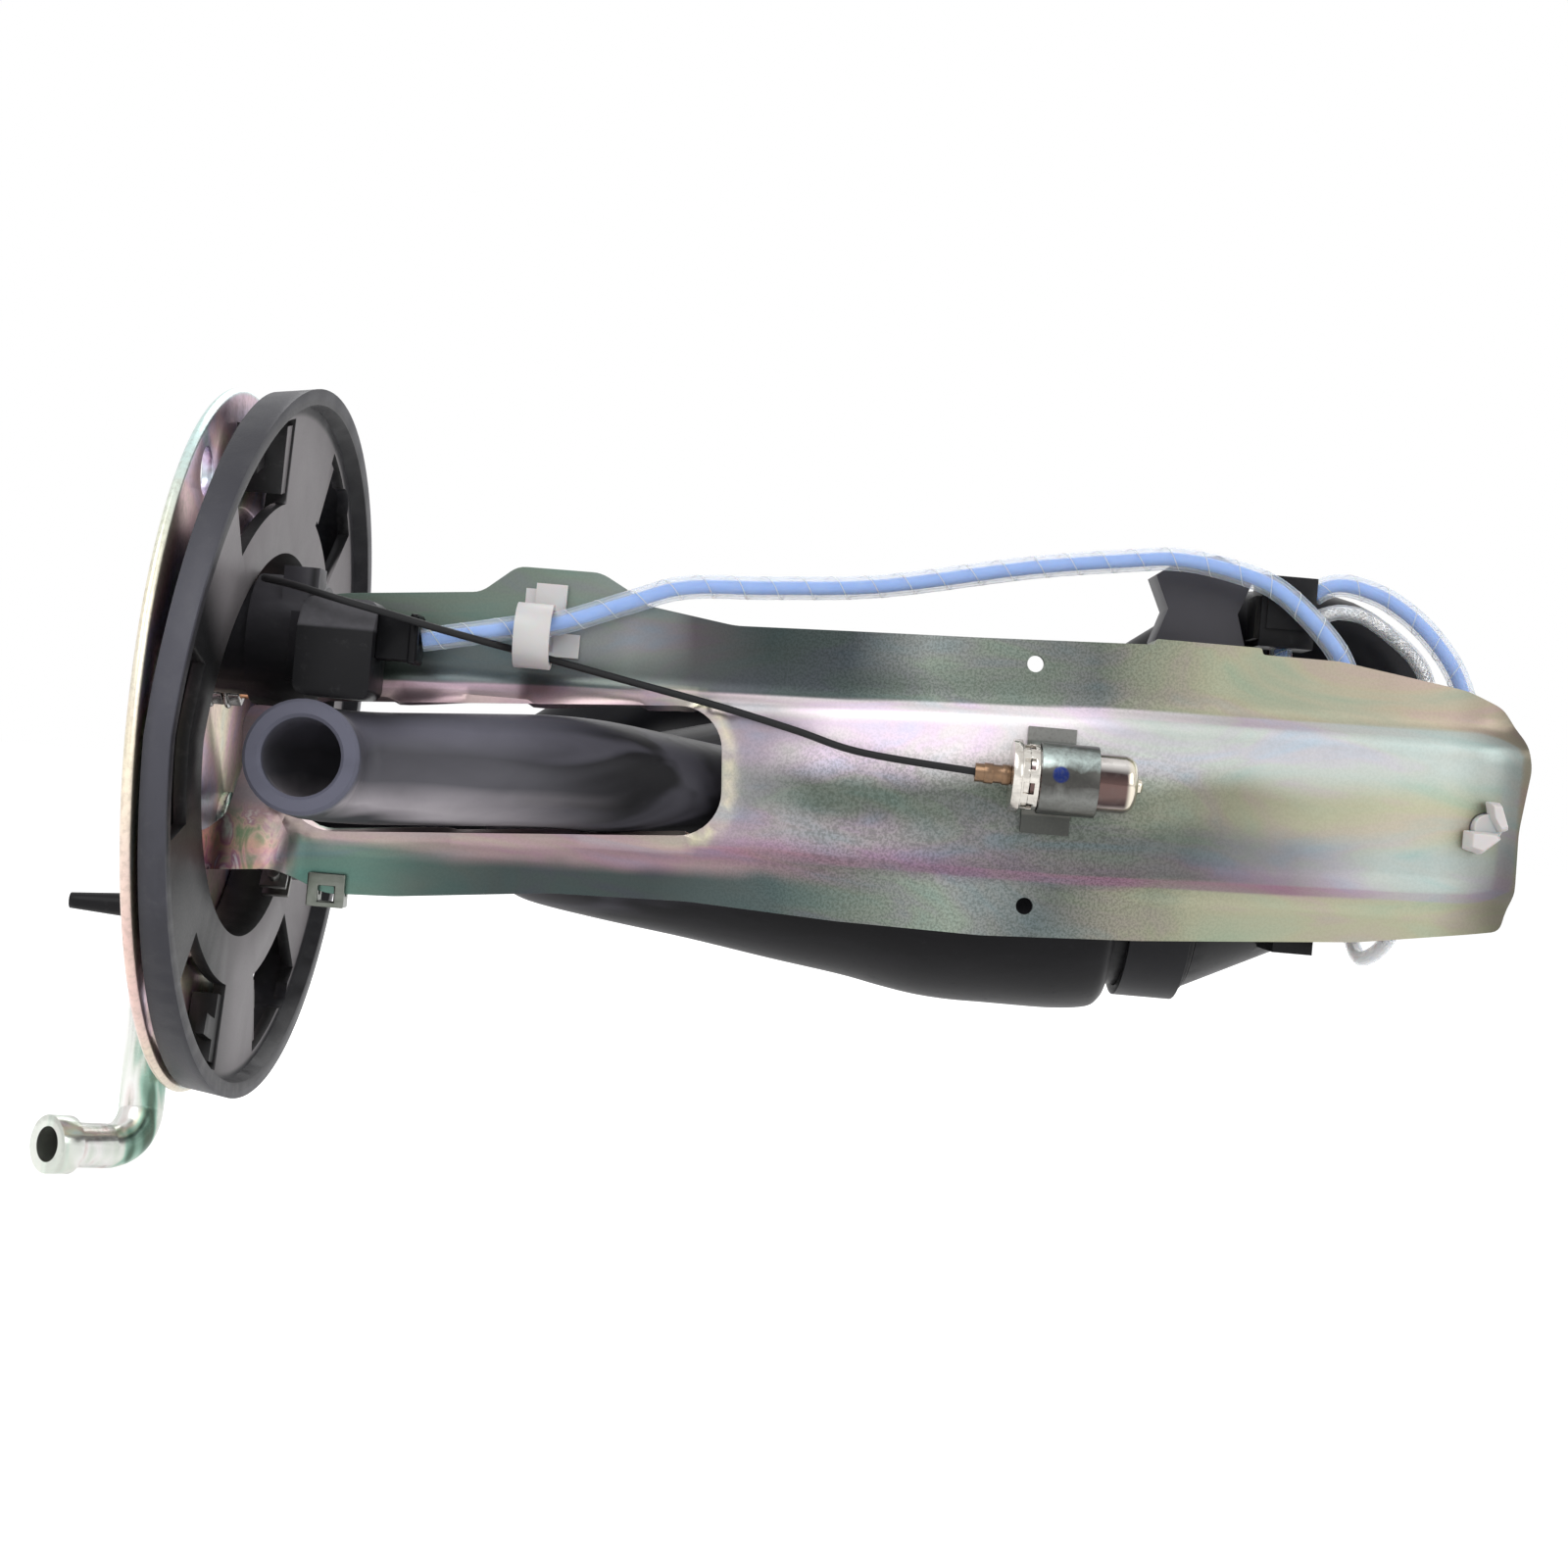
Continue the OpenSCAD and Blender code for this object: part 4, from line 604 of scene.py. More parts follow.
def clear_wrap(name):
    """Clear polyethylene of the wraps: thin, hazy and milky at its edges."""
    f = Finish(name, Base_Color=(0.97, 0.97, 1.0, 1), IOR=1.45, Specular_IOR_Level=0.3,
               Subsurface_Weight=0.4)
    edge = f.add("ShaderNodeLayerWeight", {}, {"Blend": 0.30}, "Facing")
    haze = f.noise(2.5, 3, 0.6)
    grain = f.noise(0.3, 2, 0.6)
    f.feed(Alpha=0.06 + edge ** 1.6 * 0.8 + haze * 0.10, Roughness=0.14 + grain * 0.16)
    return f.bump(haze + grain, 0.02)


def wound_copper(name):
    """Copper end windings and the coated core of the armature."""
    f = Finish(name, Metallic=0.9, Coat_Weight=0.4, Coat_Roughness=0.15)
    turns = f.add("ShaderNodeTexWave", {"bands_direction": "DIAGONAL"},
                  {"Vector": f.place, "Scale": 0.9, "Distortion": 2.0, "Detail": 2.0}, "Fac")
    stain = f.noise(4, 3, 0.6)
    colour = f.ramp(turns * 0.7 + stain * 0.3, [
        (0.2, (0.20, 0.07, 0.03)), (0.55, (0.62, 0.27, 0.12)), (0.9, (0.80, 0.44, 0.24))])
    return f.surface(colour, 0.25 + stain * 0.2, turns, 0.08)


def tangent(points, i):
    """Direction of a path at point i."""
    return (points[min(i + 1, len(points) - 1)] - points[max(i - 1, 0)]).normalized()


def frames(path):
    """Point, direction and two cross axes for each point of a path, without twist."""
    points = [Vector(p) for p in path]
    across = tangent(points, 0).orthogonal().normalized()
    rows, before = [], tangent(points, 0)
    for i, point in enumerate(points):
        ahead = tangent(points, i)
        across = before.rotation_difference(ahead) @ across
        rows.append((point, ahead, across, ahead.cross(across)))
        before = ahead
    return rows


def hoop(row, radius, sides, shift=0.0):
    """A ring of points round a row of frames()."""
    point, ahead, across, up = row
    turns = [math.tau * k / sides for k in range(sides)]
    return [point + ahead * shift + (across * math.cos(t) + up * math.sin(t)) * radius for t in turns]


def skin(rings, loop=False):
    """Points and faces over a list of rings, closed by end faces or joined end to start."""
    sides, count = len(rings[0]), len(rings)
    faces = []
    for i in range(count if loop else count - 1):
        a, b = i * sides, (i + 1) % count * sides
        faces += [(a + k, a + (k + 1) % sides, b + (k + 1) % sides, b + k) for k in range(sides)]
    if not loop:
        faces += [tuple(range(sides)), tuple((count - 1) * sides + k for k in range(sides))]
    return [p for ring in rings for p in ring], faces


def rounded(points, radii, step=7.0):
    """A path through corner points with an arc of its own radius at each corner."""
    p = [Vector(q) for q in points]
    path = [p[0]]
    for i in range(1, len(p) - 1):
        u, v = (p[i] - p[i - 1]).normalized(), (p[i + 1] - p[i]).normalized()
        angle, r = u.angle(v), radii[i]
        inward = (v - u * u.dot(v)).normalized()
        centre = p[i] - u * r * math.tan(angle / 2) + inward * r
        count = max(2, round(math.degrees(angle) / step))
        path += [centre - inward * r * math.cos(angle * k / count) + u * r * math.sin(angle * k / count)
                 for k in range(count + 1)]
    return path + [p[-1]]


def spline(points, count):
    """A smooth path through the points, the same rule as the solids'."""
    p = [Vector(q) for q in points]
    path = []
    for i in range(len(p) - 1):
        a, b, c, d = p[max(i - 1, 0)], p[i], p[i + 1], p[min(i + 2, len(p) - 1)]
        for k in range(count):
            t = k / count
            path.append(0.5 * (2 * b + t * (c - a) + t * t * (2 * a - 5 * b + 4 * c - d)
                               + t ** 3 * (3 * b - a - 3 * c + d)))
    return path + [p[-1]]


def plain(points):
    """Points as an array."""
    return np.array([tuple(p) for p in points])


def lengths(path):
    """Running length along a path."""
    steps = [0.0] + [(b - a).length for a, b in zip(path, path[1:])]
    return np.cumsum(steps)


def spaced(path, spacing):
    """The path again with evenly spaced points."""
    run = lengths(path)
    count = max(2, round(run[-1] / spacing))
    at = np.linspace(0, run[-1], count + 1)
    return [Vector(row) for row in zip(*(np.interp(at, run, column) for column in plain(path).T))]


def smooth_path(points, count=8, spacing=1.0):
    """A smooth path through the points, in even steps."""
    return spaced(spline(points, count), spacing)


def hose(path, outer, bore, sides=40, lip=0.45):
    """A hollow hose with rounded lips at both ends."""
    rows = frames(path)
    first, last, between = rows[0], rows[-1], rows[1:-1]
    rings = [hoop(first, outer, sides, lip)] + [hoop(r, outer, sides) for r in between]
    rings += [hoop(last, outer, sides, -lip), hoop(last, outer - lip, sides), hoop(last, bore + lip, sides),
              hoop(last, bore, sides, -lip)]
    rings += [hoop(r, bore, sides) for r in reversed(between)]
    rings += [hoop(first, bore, sides, lip), hoop(first, bore + lip, sides), hoop(first, outer - lip, sides)]
    return skin(rings, loop=True)


def cord_mesh(path, radius, sides=14):
    """A solid round cord along a path."""
    return skin([hoop(row, radius, sides) for row in frames(path)])


def helix(path, radius, wire, pitch, turn=1.0, start=0.0, sides=6, per_turn=14):
    """A round wire wound on a path, the other way round where turn is -1."""
    run = lengths(path)[-1]
    count = round(run / pitch * per_turn)
    rows = frames(spaced(path, run / count))
    turns = [start + turn * math.tau * k / per_turn for k in range(len(rows))]
    line = [p + (across * math.cos(t) + up * math.sin(t)) * radius
            for (p, _, across, up), t in zip(rows, turns)]
    return cord_mesh(line, wire, sides)


def prism(outline, back, front, taper):
    """A plate from an outline in X and Z, drawn towards the viewer and narrowed there."""
    middle = sum(outline, Vector((0, 0))) / len(outline)
    return skin([[Vector((q.x, y, q.y)) for q in (middle.lerp(p, k) for p in outline)]
                 for y, k in ((back, 1.0), (back * 0.4 + front * 0.6, 0.96), (front, taper))])


def joined(*parts):
    """Several meshes as one list of points and faces."""
    points, faces = [], []
    for p, f in parts:
        base = len(points)
        points += p
        faces += [tuple(base + k for k in face) for face in f]
    return points, faces


def piece(name, mesh, material, replaces=(), body="module", angle=35.0, bevel=0.0):
    """Makes an object from points in millimetres, shades it smooth and lets it ride on a body."""
    data = bpy.data.meshes.new(name)
    data.from_pydata([tuple(Vector(p) * MM) for p in mesh[0]], [], mesh[1])
    shell = bmesh.new()
    shell.from_mesh(data)
    bmesh.ops.recalc_face_normals(shell, faces=shell.faces)
    shell.to_mesh(data)
    shell.free()
    data.materials.append(material)
    thing = bpy.data.objects.new(name, data)
    bpy.context.scene.collection.objects.link(thing)
    data.shade_smooth()
    data.set_sharp_from_angle(angle=math.radians(angle))
    if bevel:
        rounding(thing, bevel)
    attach(thing, body)
    if replaces:
        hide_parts(*replaces)
    return thing


def rounding(thing, width, angle=38.0):
    """Small rounded edges and even shading."""
    bevel = thing.modifiers.new("edges", "BEVEL")
    bevel.width = width
    bevel.segments = 2
    bevel.limit_method = "ANGLE"
    bevel.angle_limit = math.radians(angle)
    bevel.harden_normals = True


def finish_node(name, material, share=1.0):
    """Gives a CAD node its material and rounds its edges by a share of the edge radius, if any."""
    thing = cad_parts[name]
    thing.data.materials.clear()
    thing.data.materials.append(material)
    thing.data.shade_smooth()
    if share:
        weld = thing.modifiers.new("weld", "WELD")
        weld.merge_threshold = 1e-6
        rounding(thing, bpy.context.scene.pump_sizes.edge * share)


def colours():
    """The colours of the dressing as plain tuples."""
    group = bpy.context.scene.pump_colours
    return type("Tints", (), {k: tuple(getattr(group, k)) for k in group.__annotations__})


def once(name, maker, *values, **named):
    """A material by name, made at its first use."""
    return bpy.data.materials.get(name + "_finish") or maker(name, *values, **named)


def nylon():
    """The black moulding nylon."""
    return once("black_nylon", moulded, colours().nylon, 0.36)


def brass():
    """The tinned brass of the pins and terminals."""
    return once("tinned_brass", plated, (0.78, 0.66, 0.38), 0.2)


def white_nylon():
    """The natural nylon of the clips."""
    return once("natural_nylon", natural_nylon, colours().white)


class MakeFlange(bpy.types.Operator):
    """Finish the cover plate, the ring, the outlet pipe and the outer stub"""
    bl_idname = "fuelpump.flange"
    bl_label = "Cover, ring and pipe"

    def execute(self, context):
        finish_node("flange_plate", once("zinc_cover", zinc_cover))
        finish_node("retainer_ring", once("ring_nylon", ring_nylon, colours().web), 1.4)
        finish_node("outlet_pipe", once("pipe_zinc", tube_zinc), 0.5)
        finish_node("outer_stub", nylon())
        return {"FINISHED"}


class MakeHousing(bpy.types.Operator):
    """Finish the terminal housing, its socket pins, boot, ground stud and nuts"""
    bl_idname = "fuelpump.housing"
    bl_label = "Terminal housing"

    def execute(self, context):
        boot = once("boot_rubber", moulded_rubber, (0.005, 0.005, 0.006), 0.34)
        copper = once("copper_plate", plated, (0.80, 0.42, 0.24), 0.22, (0.8, 0.6, 0.5))
        nuts = once("nut_zinc", plated, (0.36, 0.35, 0.34), 0.14, (0.5, 0.5, 0.5), 2)
        finish_node("terminal_housing", once("housing_nylon", housing_nylon, colours().nylon), 1.6)
        finish_node("socket_pins", brass(), 0.5)
        finish_node("lead_boot", boot, 1.2)
        finish_node("ground_stud", copper, 0.5)
        finish_node("stud_nuts", nuts)
        return {"FINISHED"}


def corner_rounded(outline, radius):
    """An outline in the plane with each sharp corner cut by a short curve."""
    points = [Vector(p) for p in outline]
    result = []
    for before, here, after in zip(points[-1:] + points[:-1], points, points[1:] + points[:1]):
        u, v = before - here, after - here
        reach = min(radius, u.length * 0.45, v.length * 0.45)
        a, b = here + u.normalized() * reach, here + v.normalized() * reach
        result += [a.lerp(here, t).lerp(here.lerp(b, t), t) for t in (0, 0.25, 0.5, 0.75, 1)]
    return result


def refined(outline, spacing):
    """A closed outline with extra points on its long sides."""
    result = []
    for a, b in zip(outline, outline[1:] + outline[:1]):
        count = max(1, math.ceil((b - a).length / spacing))
        result += [a.lerp(b, k / count) for k in range(count)]
    return result


def circle_outline(x, z, radius, count=28):
    """Points of a round hole."""
    turns = [math.tau * k / count for k in range(count)]
    return [Vector((x + radius * math.cos(t), z + radius * math.sin(t))) for t in turns]


def slot_outline(count=10):
    """Points of the hose slot, with count steps round each corner."""
    x, z, length, width, corner, tilt = SLOT
    turn = Matrix.Rotation(math.radians(tilt), 2)
    result = []
    for k, (sx, sz) in enumerate(((1, 1), (-1, 1), (-1, -1), (1, -1))):
        middle = Vector((sx * (length / 2 - corner), sz * (width / 2 - corner)))
        result += [turn @ (middle + Vector((math.cos(a), math.sin(a))) * corner) + Vector((x, z))
                   for a in (math.pi / 2 * (k + j / count) for j in range(count + 1))]
    return result


def slot_gap(p):
    """Distance of a point from the edge of the hose slot, negative inside it."""
    x, z, length, width, corner, tilt = SLOT
    q = Matrix.Rotation(-math.radians(tilt), 2) @ (p - Vector((x, z)))
    dx, dz = abs(q.x) - (length / 2 - corner), abs(q.y) - (width / 2 - corner)
    return Vector((max(dx, 0), max(dz, 0))).length + min(max(dx, dz), 0) - corner


def inside(points, outline):
    """Which of an array of points lie inside an outline."""
    poly = plain(outline)
    found = np.zeros(len(points), bool)
    for (x1, z1), (x2, z2) in zip(poly, np.roll(poly, -1, 0)):
        if z1 == z2:
            continue
        crosses = (z1 > points[:, 1]) != (z2 > points[:, 1])
        found ^= crosses & (points[:, 0] < (x2 - x1) * (points[:, 1] - z1) / (z2 - z1) + x1)
    return found


def sheet_grid(spacing):
    """Points and faces of the flat bracket sheet: an even grid between its edge and its holes."""
    edge = refined(corner_rounded(PLATE, 1.2), spacing)
    holes = [refined(slot_outline(), spacing)] + [circle_outline(*h) for h in ROUND_HOLES]

    def on_sheet(places):
        return inside(places, edge) & ~np.any([inside(places, hole) for hole in holes], axis=0)

    flat, edges = [], []
    for ring in [edge] + holes:
        base = len(flat)
        flat += ring
        edges += [(base + k, base + (k + 1) % len(ring)) for k in range(len(ring))]
    rim = plain(flat)
    lows, highs = rim.min(0), rim.max(0)
    gx, gz = np.meshgrid(np.arange(lows[0], highs[0], spacing), np.arange(lows[1], highs[1], spacing))
    gx[1::2] += spacing / 2
    grid = np.stack([gx.ravel(), gz.ravel()], 1)
    grid = grid[on_sheet(grid)]
    near = np.array([((rim - g) ** 2).sum(1).min() for g in grid])
    flat += [Vector(g) for g in grid[near > (0.55 * spacing) ** 2]]
    points, _, faces, *_ = delaunay_2d_cdt(flat, edges, [], 0, 1e-5)
    middles = plain([sum((points[k] for k in f), Vector((0, 0))) / len(f) for f in faces])
    sliver = 0.01
    faces = [(a, b, c) for (a, b, c), good in zip(faces, on_sheet(middles))
             if good and abs((points[b] - points[a]).cross(points[c] - points[a])) > sliver]
    return points, faces


def smooth(t):
    """An eased share between 0 and 1."""
    t = min(max(t, 0.0), 1.0)
    return t * t * (3 - 2 * t)


def bend_height(x, line):
    """Height of a bend line at x."""
    return float(np.interp(x, *zip(*line)))


def sheet_place(p):
    """Where a point of the flat bracket sheet lies in space: raised middle, slot lip and curled end."""
    x, z = p
    run, lead, curl, lip, dent = 3.8, 0.15, 2.6, 0.55, 0.10
    throat = smooth((15 - x) / 3.5)
    upper = smooth((bend_height(x, BEND_UP) - z) / run + lead)
    lower = smooth((z - bend_height(x, BEND_LOW)) / run + lead)
    y = SIDE_Y + (WEB_Y - SIDE_Y) * upper * max(lower, throat)
    if z < 0:
        y += curl * smooth((8 - x) / 9) ** 2 + 0.5 * throat * smooth((-11 - z) / 6)
    if x > 8:
        y -= lip * math.exp(-((slot_gap(p) - 1.0) / 0.75) ** 2) * smooth((x - 8) / 6)
    y += curl * smooth((x - 171) / 12) ** 2
    y += dent * noise.noise(Vector((x * 0.05, z * 0.09, 3.1)))
    return Vector((x, y, z))


def fold(name, profile, across, low, high, half, colour):
    """A folded strip of the sheet: a profile drawn out along an axis, half as thick to either side."""
    rings = []
    for p, ahead, _, _ in frames(spline(profile, 5)):
        n = across.cross(ahead).normalized() * half
        rings.append([p + n * side + across * at
                      for side, at in ((1, low), (1, high), (-1, high), (-1, low))])
    piece(name, skin(rings), colour, bevel=0.00012)


class MakeBracket(bpy.types.Operator):
    """Build the stamped bracket over its sheet-metal node"""
    bl_idname = "fuelpump.bracket"
    bl_label = "Bracket"

    def execute(self, context):
        points, faces = sheet_grid(context.scene.pump_sizes.grid / MM)
        colour = once("zinc_bracket", zinc_plate, colours())
        sheet = piece("bracket_sheet", ([sheet_place(p) for p in points], faces), colour,
                      ["bracket"], angle=50)
        lip = sheet.data.attributes.new("lip", "FLOAT", "POINT")
        lip.data.foreach_set("value", [math.exp(-((slot_gap(p) - 0.9) / 0.9) ** 2) for p in points])
        if sheet.data.polygons[0].normal.y > 0:
            sheet.data.flip_normals()
        solid = sheet.modifiers.new("thickness", "SOLIDIFY")
        solid.thickness = SHEET * MM
        solid.offset = -1
        rounding(sheet, 0.0001, 60)
        x_axis, z_axis, half = Vector((1, 0, 0)), Vector((0, 0, 1)), SHEET / 2
        fold("bracket_foot", [(x, y, 0) for x, y in FOOT_FOLD], z_axis, -17.7, -12.7, half, colour)
        fold("bracket_end", [(x, y, 0) for x, y in END_FOLD], z_axis, -6.3, 12.6, half, colour)
        fold("bracket_tab", [(0, y, z) for y, z in TAB_FOLD], x_axis, 129.3, 143.1, half - 0.02, colour)
        return {"FINISHED"}


class MakeClips(bpy.types.Operator):
    """Finish the edge clip and the wire clip, and build the push clip"""
    bl_idname = "fuelpump.clips"
    bl_label = "Clips"

    def execute(self, context):
        white, edge = white_nylon(), context.scene.pump_sizes.edge
        plating = once("clip_zinc", plated, (0.17, 0.18, 0.16), 0.22, (0.6, 0.7, 0.6), 3)
        finish_node("edge_clip", plating)
        finish_node("wire_clip", white)
        x, z = PUSH_CLIP
        stem_r, head_r, taper = 1.9, 3.7, 0.72
        stem = skin([hoop(row, stem_r, 24) for row in frames([(x, -18.9, z), (x, -21.4, z)])])
        head = skin([hoop(row, head_r, 32) for row in frames([(x, -18.2, z), (x, -17.0, z)])])
        blades = [prism([Vector(p) for p in outline], -20.3, -23.6, taper) for outline in BLADES]
        clip = joined(stem, head, *blades)
        piece("push_clip_barbed", clip, white, ["push_clip"], bevel=edge)
        return {"FINISHED"}


def bell_mesh(sides=72):
    """The rubber bell: rings along X, a lip and a bore."""
    turns = [math.tau * k / sides for k in range(sides)]
    around = [Vector((0, math.cos(t), math.sin(t))) for t in turns]
    middles = spline([Vector(b[:3]) for b in BELL], 5)
    radii = [v.x for v in spline([Vector((b[3], 0, 0)) for b in BELL], 5)]
    rows = [*zip(middles, radii), (MOUTH, MOUTH_LIP), (MOUTH - Vector((0.5, 0, 0)), MOUTH_BORE),
            (MOUTH - Vector((MOUTH_DEPTH, 0, 0)), MOUTH_BORE)]
    return skin([[p + way * r for way in around] for p, r in rows])


class MakeBoot(bpy.types.Operator):
    """Build the suction hose with its rubber bell, and the outlet hose"""
    bl_idname = "fuelpump.boot"
    bl_label = "Rubber hoses"

    def execute(self, context):
        suction = joined(hose(spaced(rounded(SUCTION, SUCTION_BENDS), 1.6), *HOSE), bell_mesh())
        rubber = once("hose_rubber", hose_rubber, colours().rubber)
        piece("suction_hose", suction, rubber, ["suction_boot"], angle=32)
        outlet = hose(spaced(rounded(OUTLET, OUTLET_BENDS), 2.0), *RETURN)
        rubber = once("return_rubber", moulded_rubber, (0.008, 0.008, 0.010))
        piece("return_hose", outlet, rubber, ["outlet_hose"])
        plating = once("clamp_zinc", plated, (0.13, 0.13, 0.125), 0.25)
        finish_node("hose_clamps", plating)
        return {"FINISHED"}


class MakePump(bpy.types.Operator):
    """Finish the pump's outer pieces and the strap that holds it"""
    bl_idname = "fuelpump.pump"
    bl_label = "Pump and strap"

    def execute(self, context):
        finish_node("pump_case", once("case_coating", moulded, (0.010, 0.010, 0.011), 0.34))
        finish_node("outlet_cover", nylon(), 1.5)
        finish_node("pump_terminals", brass(), 0.5)
        finish_node("pump_strap", once("strap_rubber", strap_rubber, (0.012, 0.012, 0.014)), 3)
        finish_node("lead_connector", nylon(), 1.4)
        return {"FINISHED"}


class MakeInside(bpy.types.Operator):
    """Finish the turbine, the motor and the valves inside the pump, and wind the valve springs"""
    bl_idname = "fuelpump.inside"
    bl_label = "Inner pieces"

    def execute(self, context):
        cast = once("machined_casting", plated, (0.60, 0.61, 0.63), 0.3, size=4)
        steel = once("ground_steel", plated, (0.74, 0.74, 0.76), 0.12, size=8, scuff=0.004)
        spring = once("spring_wire", plated, (0.66, 0.66, 0.68), 0.18, size=3)
        rows = {"inlet_cover": cast, "pump_body": cast, "shaft": steel, "check_ball": steel,
                "relief_ball": steel, "brush_springs": spring, "check_spring": spring,
                "relief_spring": spring,
                "impeller": once("impeller_resin", moulded, (0.10, 0.07, 0.05), 0.38),
                "magnets": once("ferrite", moulded, (0.05, 0.05, 0.052), 0.5, 0.6, 0.02),
                "armature": once("wound_copper", wound_copper),
                "commutator": once("commutator_copper", plated, (0.76, 0.42, 0.25), 0.2, size=2),
                "bearings": once("sintered_bronze", plated, (0.50, 0.36, 0.20), 0.4, size=1.2),
                "brushes": once("pressed_carbon", moulded, (0.025, 0.025, 0.028), 0.55, 0.5, 0.03)}
        for name, material in rows.items():
            finish_node(name, material, 0 if "spring" in name or "ball" in name else 0.5)
        for name, (place, low, high, radius, wire, turns, joint, seat, keep) in SPRINGS.items():
            axis = [Vector((*place, low + wire)), Vector((*place, high - wire))]
            pitch = (high - low - 2 * wire) / turns
            coil = helix(axis, radius, wire, pitch, sides=8, per_turn=24)
            coil = piece(name + "_coil", coil, spring, [name])
            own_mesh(coil)
        return {"FINISHED"}


class MakeSensor(bpy.types.Operator):
    """Finish the level sensor and its clip"""
    bl_idname = "fuelpump.sensor"
    bl_label = "Level sensor"

    def execute(self, context):
        nickel = once("nickel", plated, (0.66, 0.63, 0.58), 0.1, (0.35, 0.3, 0.28), 2.2, 0.005)
        ferrule = once("ferrule_brass", plated, (0.19, 0.12, 0.075), 0.2, (1.6, 1.5, 1.3), 1.5)
        finish_node("sensor_can", once("can_nickel", sensor_plating))
        finish_node("sensor_collar", nickel)
        finish_node("sensor_ferrule", ferrule, 0.5)
        finish_node("sensor_band", once("band_plate", band_zinc))
        finish_node("thermistor", once("glazed_bead", moulded, (0.05, 0.14, 0.09), 0.2), 0.5)
        return {"FINISHED"}


class MakeLeads(bpy.types.Operator):
    """Build the leads, the spiral wraps and the braided ground lead"""
    bl_idname = "fuelpump.leads"
    bl_label = "Leads"

    def execute(self, context):
        pitch = context.scene.pump_sizes.wrap_pitch / MM
        blue = once("blue_insulation", insulation, colours().blue)
        black = once("black_insulation", insulation, (0.006, 0.006, 0.007), 0.5)
        clear = once("clear_wrap", clear_wrap)
        braid = once("tinned_braid", plated, (0.66, 0.67, 0.68), 0.25, size=1.5)
        sides, lip, wraps, seams = 28, 0.05, [], []
        for name, route in (("feed", FEED), ("pump", PUMP_LEAD)):
            cord = cord_mesh(smooth_path(route, 6), LEAD_R)
            piece(name + "_lead", cord, blue, ["lead_" + name])
            wraps.append(hose(smooth_path(route), *WRAP, sides, lip))
            seams.append(helix(spline(route, 8), WRAP[0] - 0.02, SEAM_R, pitch, per_turn=24))
        piece("spiral_wraps", joined(*wraps), clear, ["lead_wraps"], angle=60)
        piece("wrap_edges", joined(*seams), white_nylon())
        core = cord_mesh(smooth_path(GROUND), GROUND_R)
        ground, count, twist = spline(GROUND, 8), 7, 5.0
        strands = [helix(ground, GROUND_R + 0.06, STRAND_R, twist, turn, math.tau * k / count, 5)
                   for turn in (-1, 1) for k in range(count)]
        piece("ground_braid", joined(core, *strands), braid, ["lead_ground"])
        piece("ground_sleeve", hose(smooth_path(GROUND), *SLEEVE, 20, lip), clear)
        sensor = cord_mesh(smooth_path(SENSOR_LEAD), SENSOR_LEAD_R)
        piece("sensor_lead", sensor, black, ["lead_sensor"])
        return {"FINISHED"}


def lamp(name, place, size, watts, aim):
    """A soft square lamp aimed at a point."""
    light = bpy.data.lights.new(name, "AREA")
    light.size = size
    light.energy = watts
    thing = bpy.data.objects.new(name, light)
    bpy.context.scene.collection.objects.link(thing)
    thing.location = place
    thing.rotation_euler = (Vector(place) - Vector(aim)).to_track_quat("Z", "Y").to_euler()


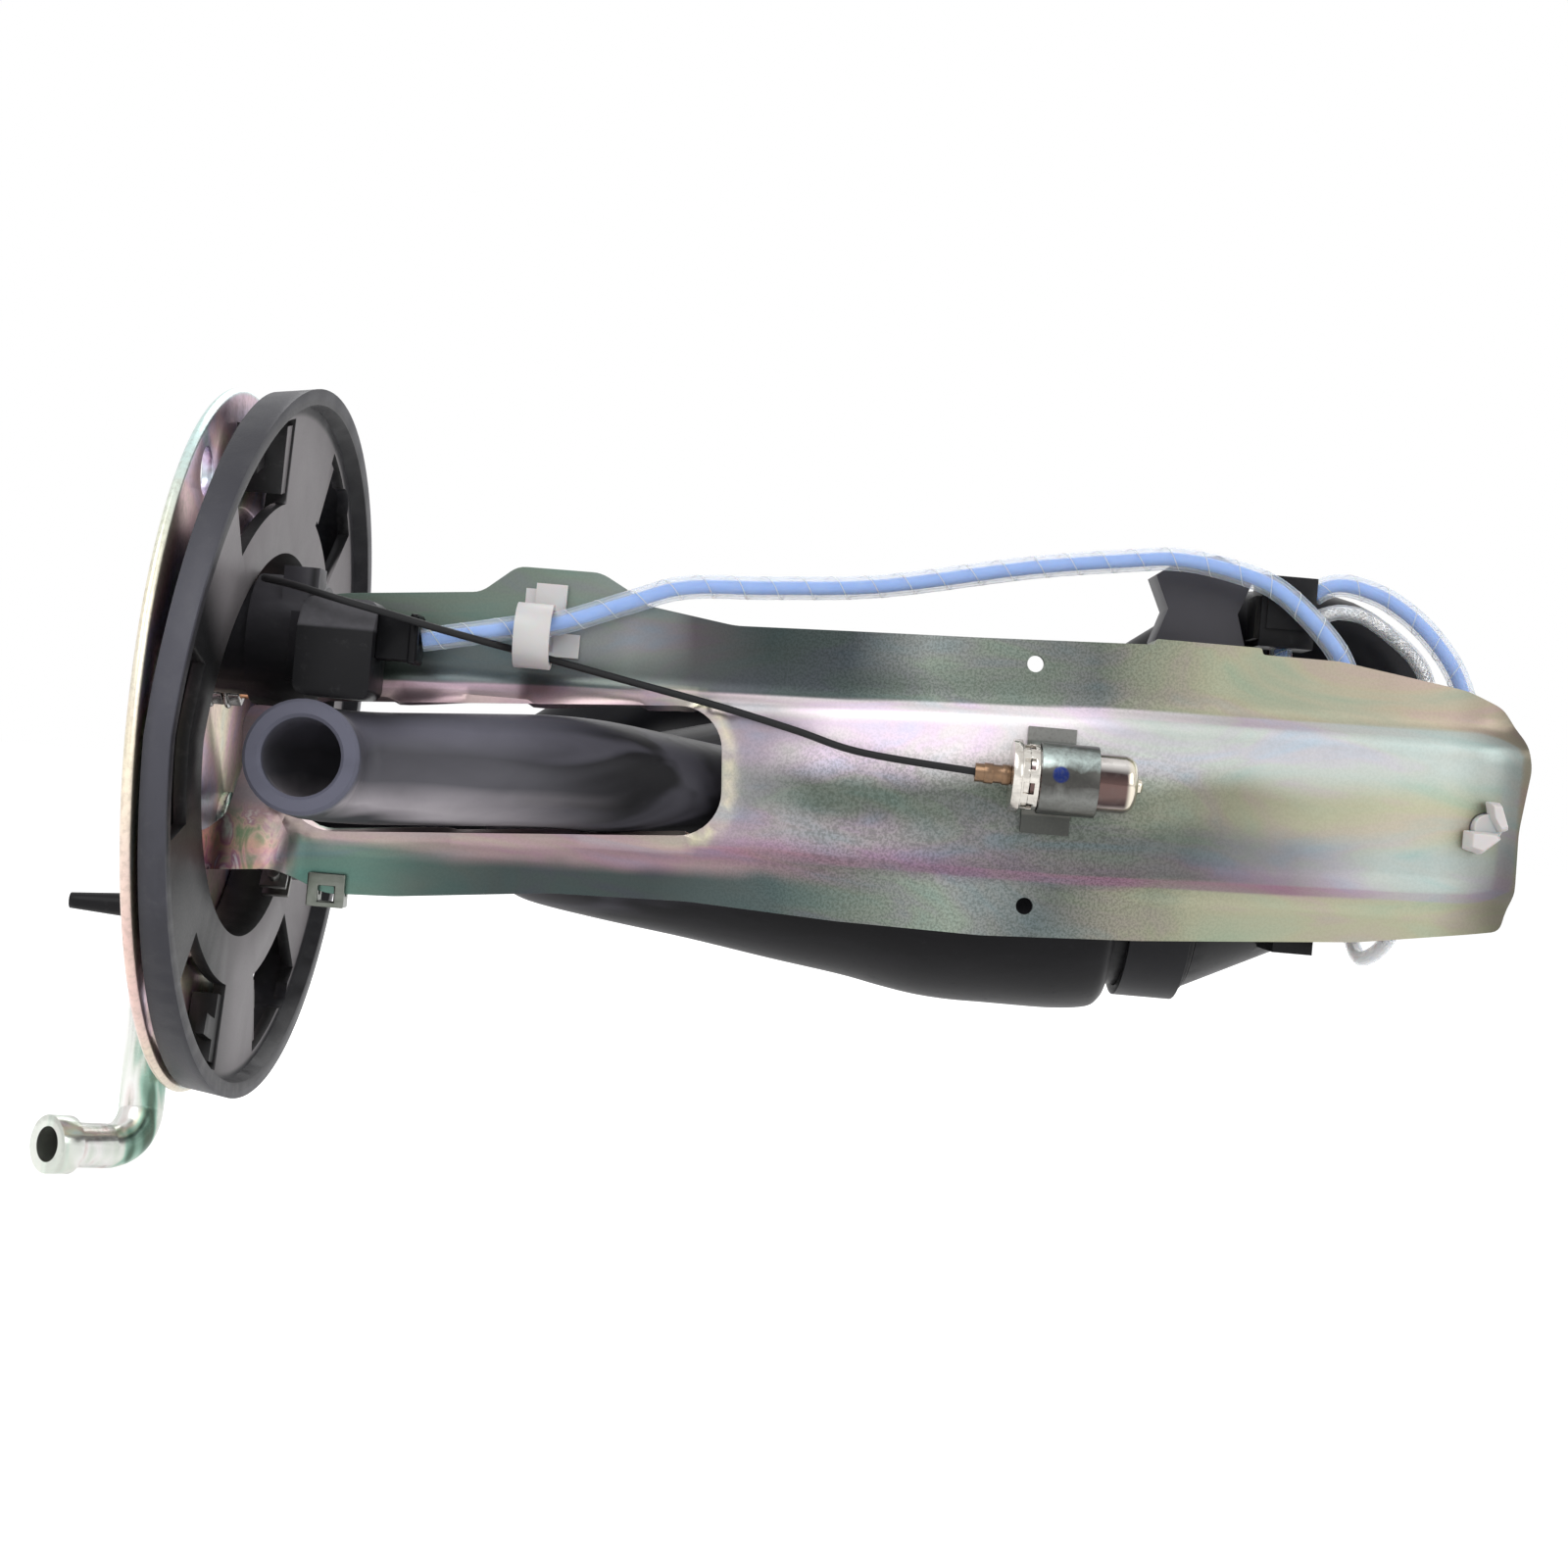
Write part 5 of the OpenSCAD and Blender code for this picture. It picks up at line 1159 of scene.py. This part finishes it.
class MakeStage(bpy.types.Operator):
    """Set the pale floor, the soft lamps, the white background and the camera"""
    bl_idname = "fuelpump.stage"
    bl_label = "Stage"

    def execute(self, context):
        scene = context.scene
        low, high = CAD_BOX
        centre = (low + high) / 2
        self.floor(scene, centre, low.z - 0.002)
        lamp("key_lamp", (-0.35, -0.75, 0.75), 0.7, 5.0, centre)
        lamp("fill_lamp", (0.75, -0.55, 0.35), 0.6, 2.2, centre)
        lamp("back_lamp", (0.15, 0.7, 0.7), 0.6, 2.5, centre)
        self.world(scene)
        self.camera(scene)
        return {"FINISHED"}

    def floor(self, scene, centre, height, far=6.0):
        """A pale floor that keeps the shadow and meets the white background."""
        data = bpy.data.meshes.new("floor")
        data.from_pydata([(centre.x + sx * far, centre.y + sy * far, height)
                          for sx, sy in ((-1, -1), (1, -1), (1, 1), (-1, 1))], [], [(0, 1, 2, 3)])
        floor = bpy.data.objects.new("floor", data)
        scene.collection.objects.link(floor)
        f = Finish("pale_floor", Specular_IOR_Level=0.0, Roughness=1.0, Base_Color=(*colours().floor, 1.0),
                   Emission_Strength=1.0)
        f.feed(Emission_Color=f.mix(f.seen(), (0, 0, 0), (0.46, 0.46, 0.46)))
        data.materials.append(f.material)

    def world(self, scene):
        """A white background that lights the object a little less than it shows."""
        world = bpy.data.worlds.new("white_studio")
        scene.world = world
        world.use_nodes = True
        nodes = Nodes(world.node_tree)
        back = world.node_tree.nodes["Background"]
        nodes.put(back, "Strength", nodes.seen() * 0.38 + 0.62)
        nodes.put(back, "Color", (1, 1, 1, 1))

    def camera(self, scene):
        """The photograph's view: level, rolled by five degrees, at a long focal length."""
        focal_px, image_px, sensor = 2630, 1600, 36.0
        eye_mm = Vector((81.4, -368, 0.9))
        yaw, roll = math.radians(-0.2), math.radians(5)
        ahead = Vector((math.sin(yaw), math.cos(yaw), 0))
        level = Vector((math.cos(yaw), -math.sin(yaw), 0))
        right = level * math.cos(roll) + Vector((0, 0, 1)) * math.sin(roll)
        up = -level * math.sin(roll) + Vector((0, 0, 1)) * math.cos(roll)
        data = bpy.data.cameras.new("camera")
        data.sensor_width = sensor
        data.lens = focal_px * sensor / image_px
        eye = bpy.data.objects.new("camera", data)
        scene.collection.objects.link(eye)
        place = Matrix((right, up, -ahead)).transposed().to_4x4()
        place.translation = eye_mm * MM
        eye.matrix_world = place
        scene.camera = eye
        scene.view_settings.view_transform = "Standard"


class PumpPanel(bpy.types.Panel):
    """Lists the steps of the dressing"""
    bl_idname = "FUELPUMP_PT_steps"
    bl_label = "Fuel pump"
    bl_space_type = "VIEW_3D"
    bl_region_type = "UI"
    bl_category = "Fuel pump"

    def draw(self, context):
        for group in (context.scene.pump_sizes, context.scene.pump_colours):
            for key in group.__annotations__:
                self.layout.prop(group, key)
        for step in STEPS:
            self.layout.operator(step.bl_idname)


STEPS = (MakeStage, MakeLeads, MakeFlange, MakeHousing, MakeBracket, MakeClips, MakeBoot, MakePump,
         MakeSensor, MakeInside)
CLASSES = (ModuleSizes, ModuleColours, *STEPS, PumpPanel)


def register():
    for kind in CLASSES:
        bpy.utils.register_class(kind)
    bpy.types.Scene.pump_sizes = bpy.props.PointerProperty(type=ModuleSizes)
    bpy.types.Scene.pump_colours = bpy.props.PointerProperty(type=ModuleColours)


def unregister():
    del bpy.types.Scene.pump_colours
    del bpy.types.Scene.pump_sizes
    for kind in reversed(CLASSES):
        bpy.utils.unregister_class(kind)


def main():
    """Registers the add-on and runs its steps in order."""
    register()
    for step in STEPS:
        group, name = step.bl_idname.split(".")
        getattr(getattr(bpy.ops, group), name)()


if __name__ == "__main__":
    main()
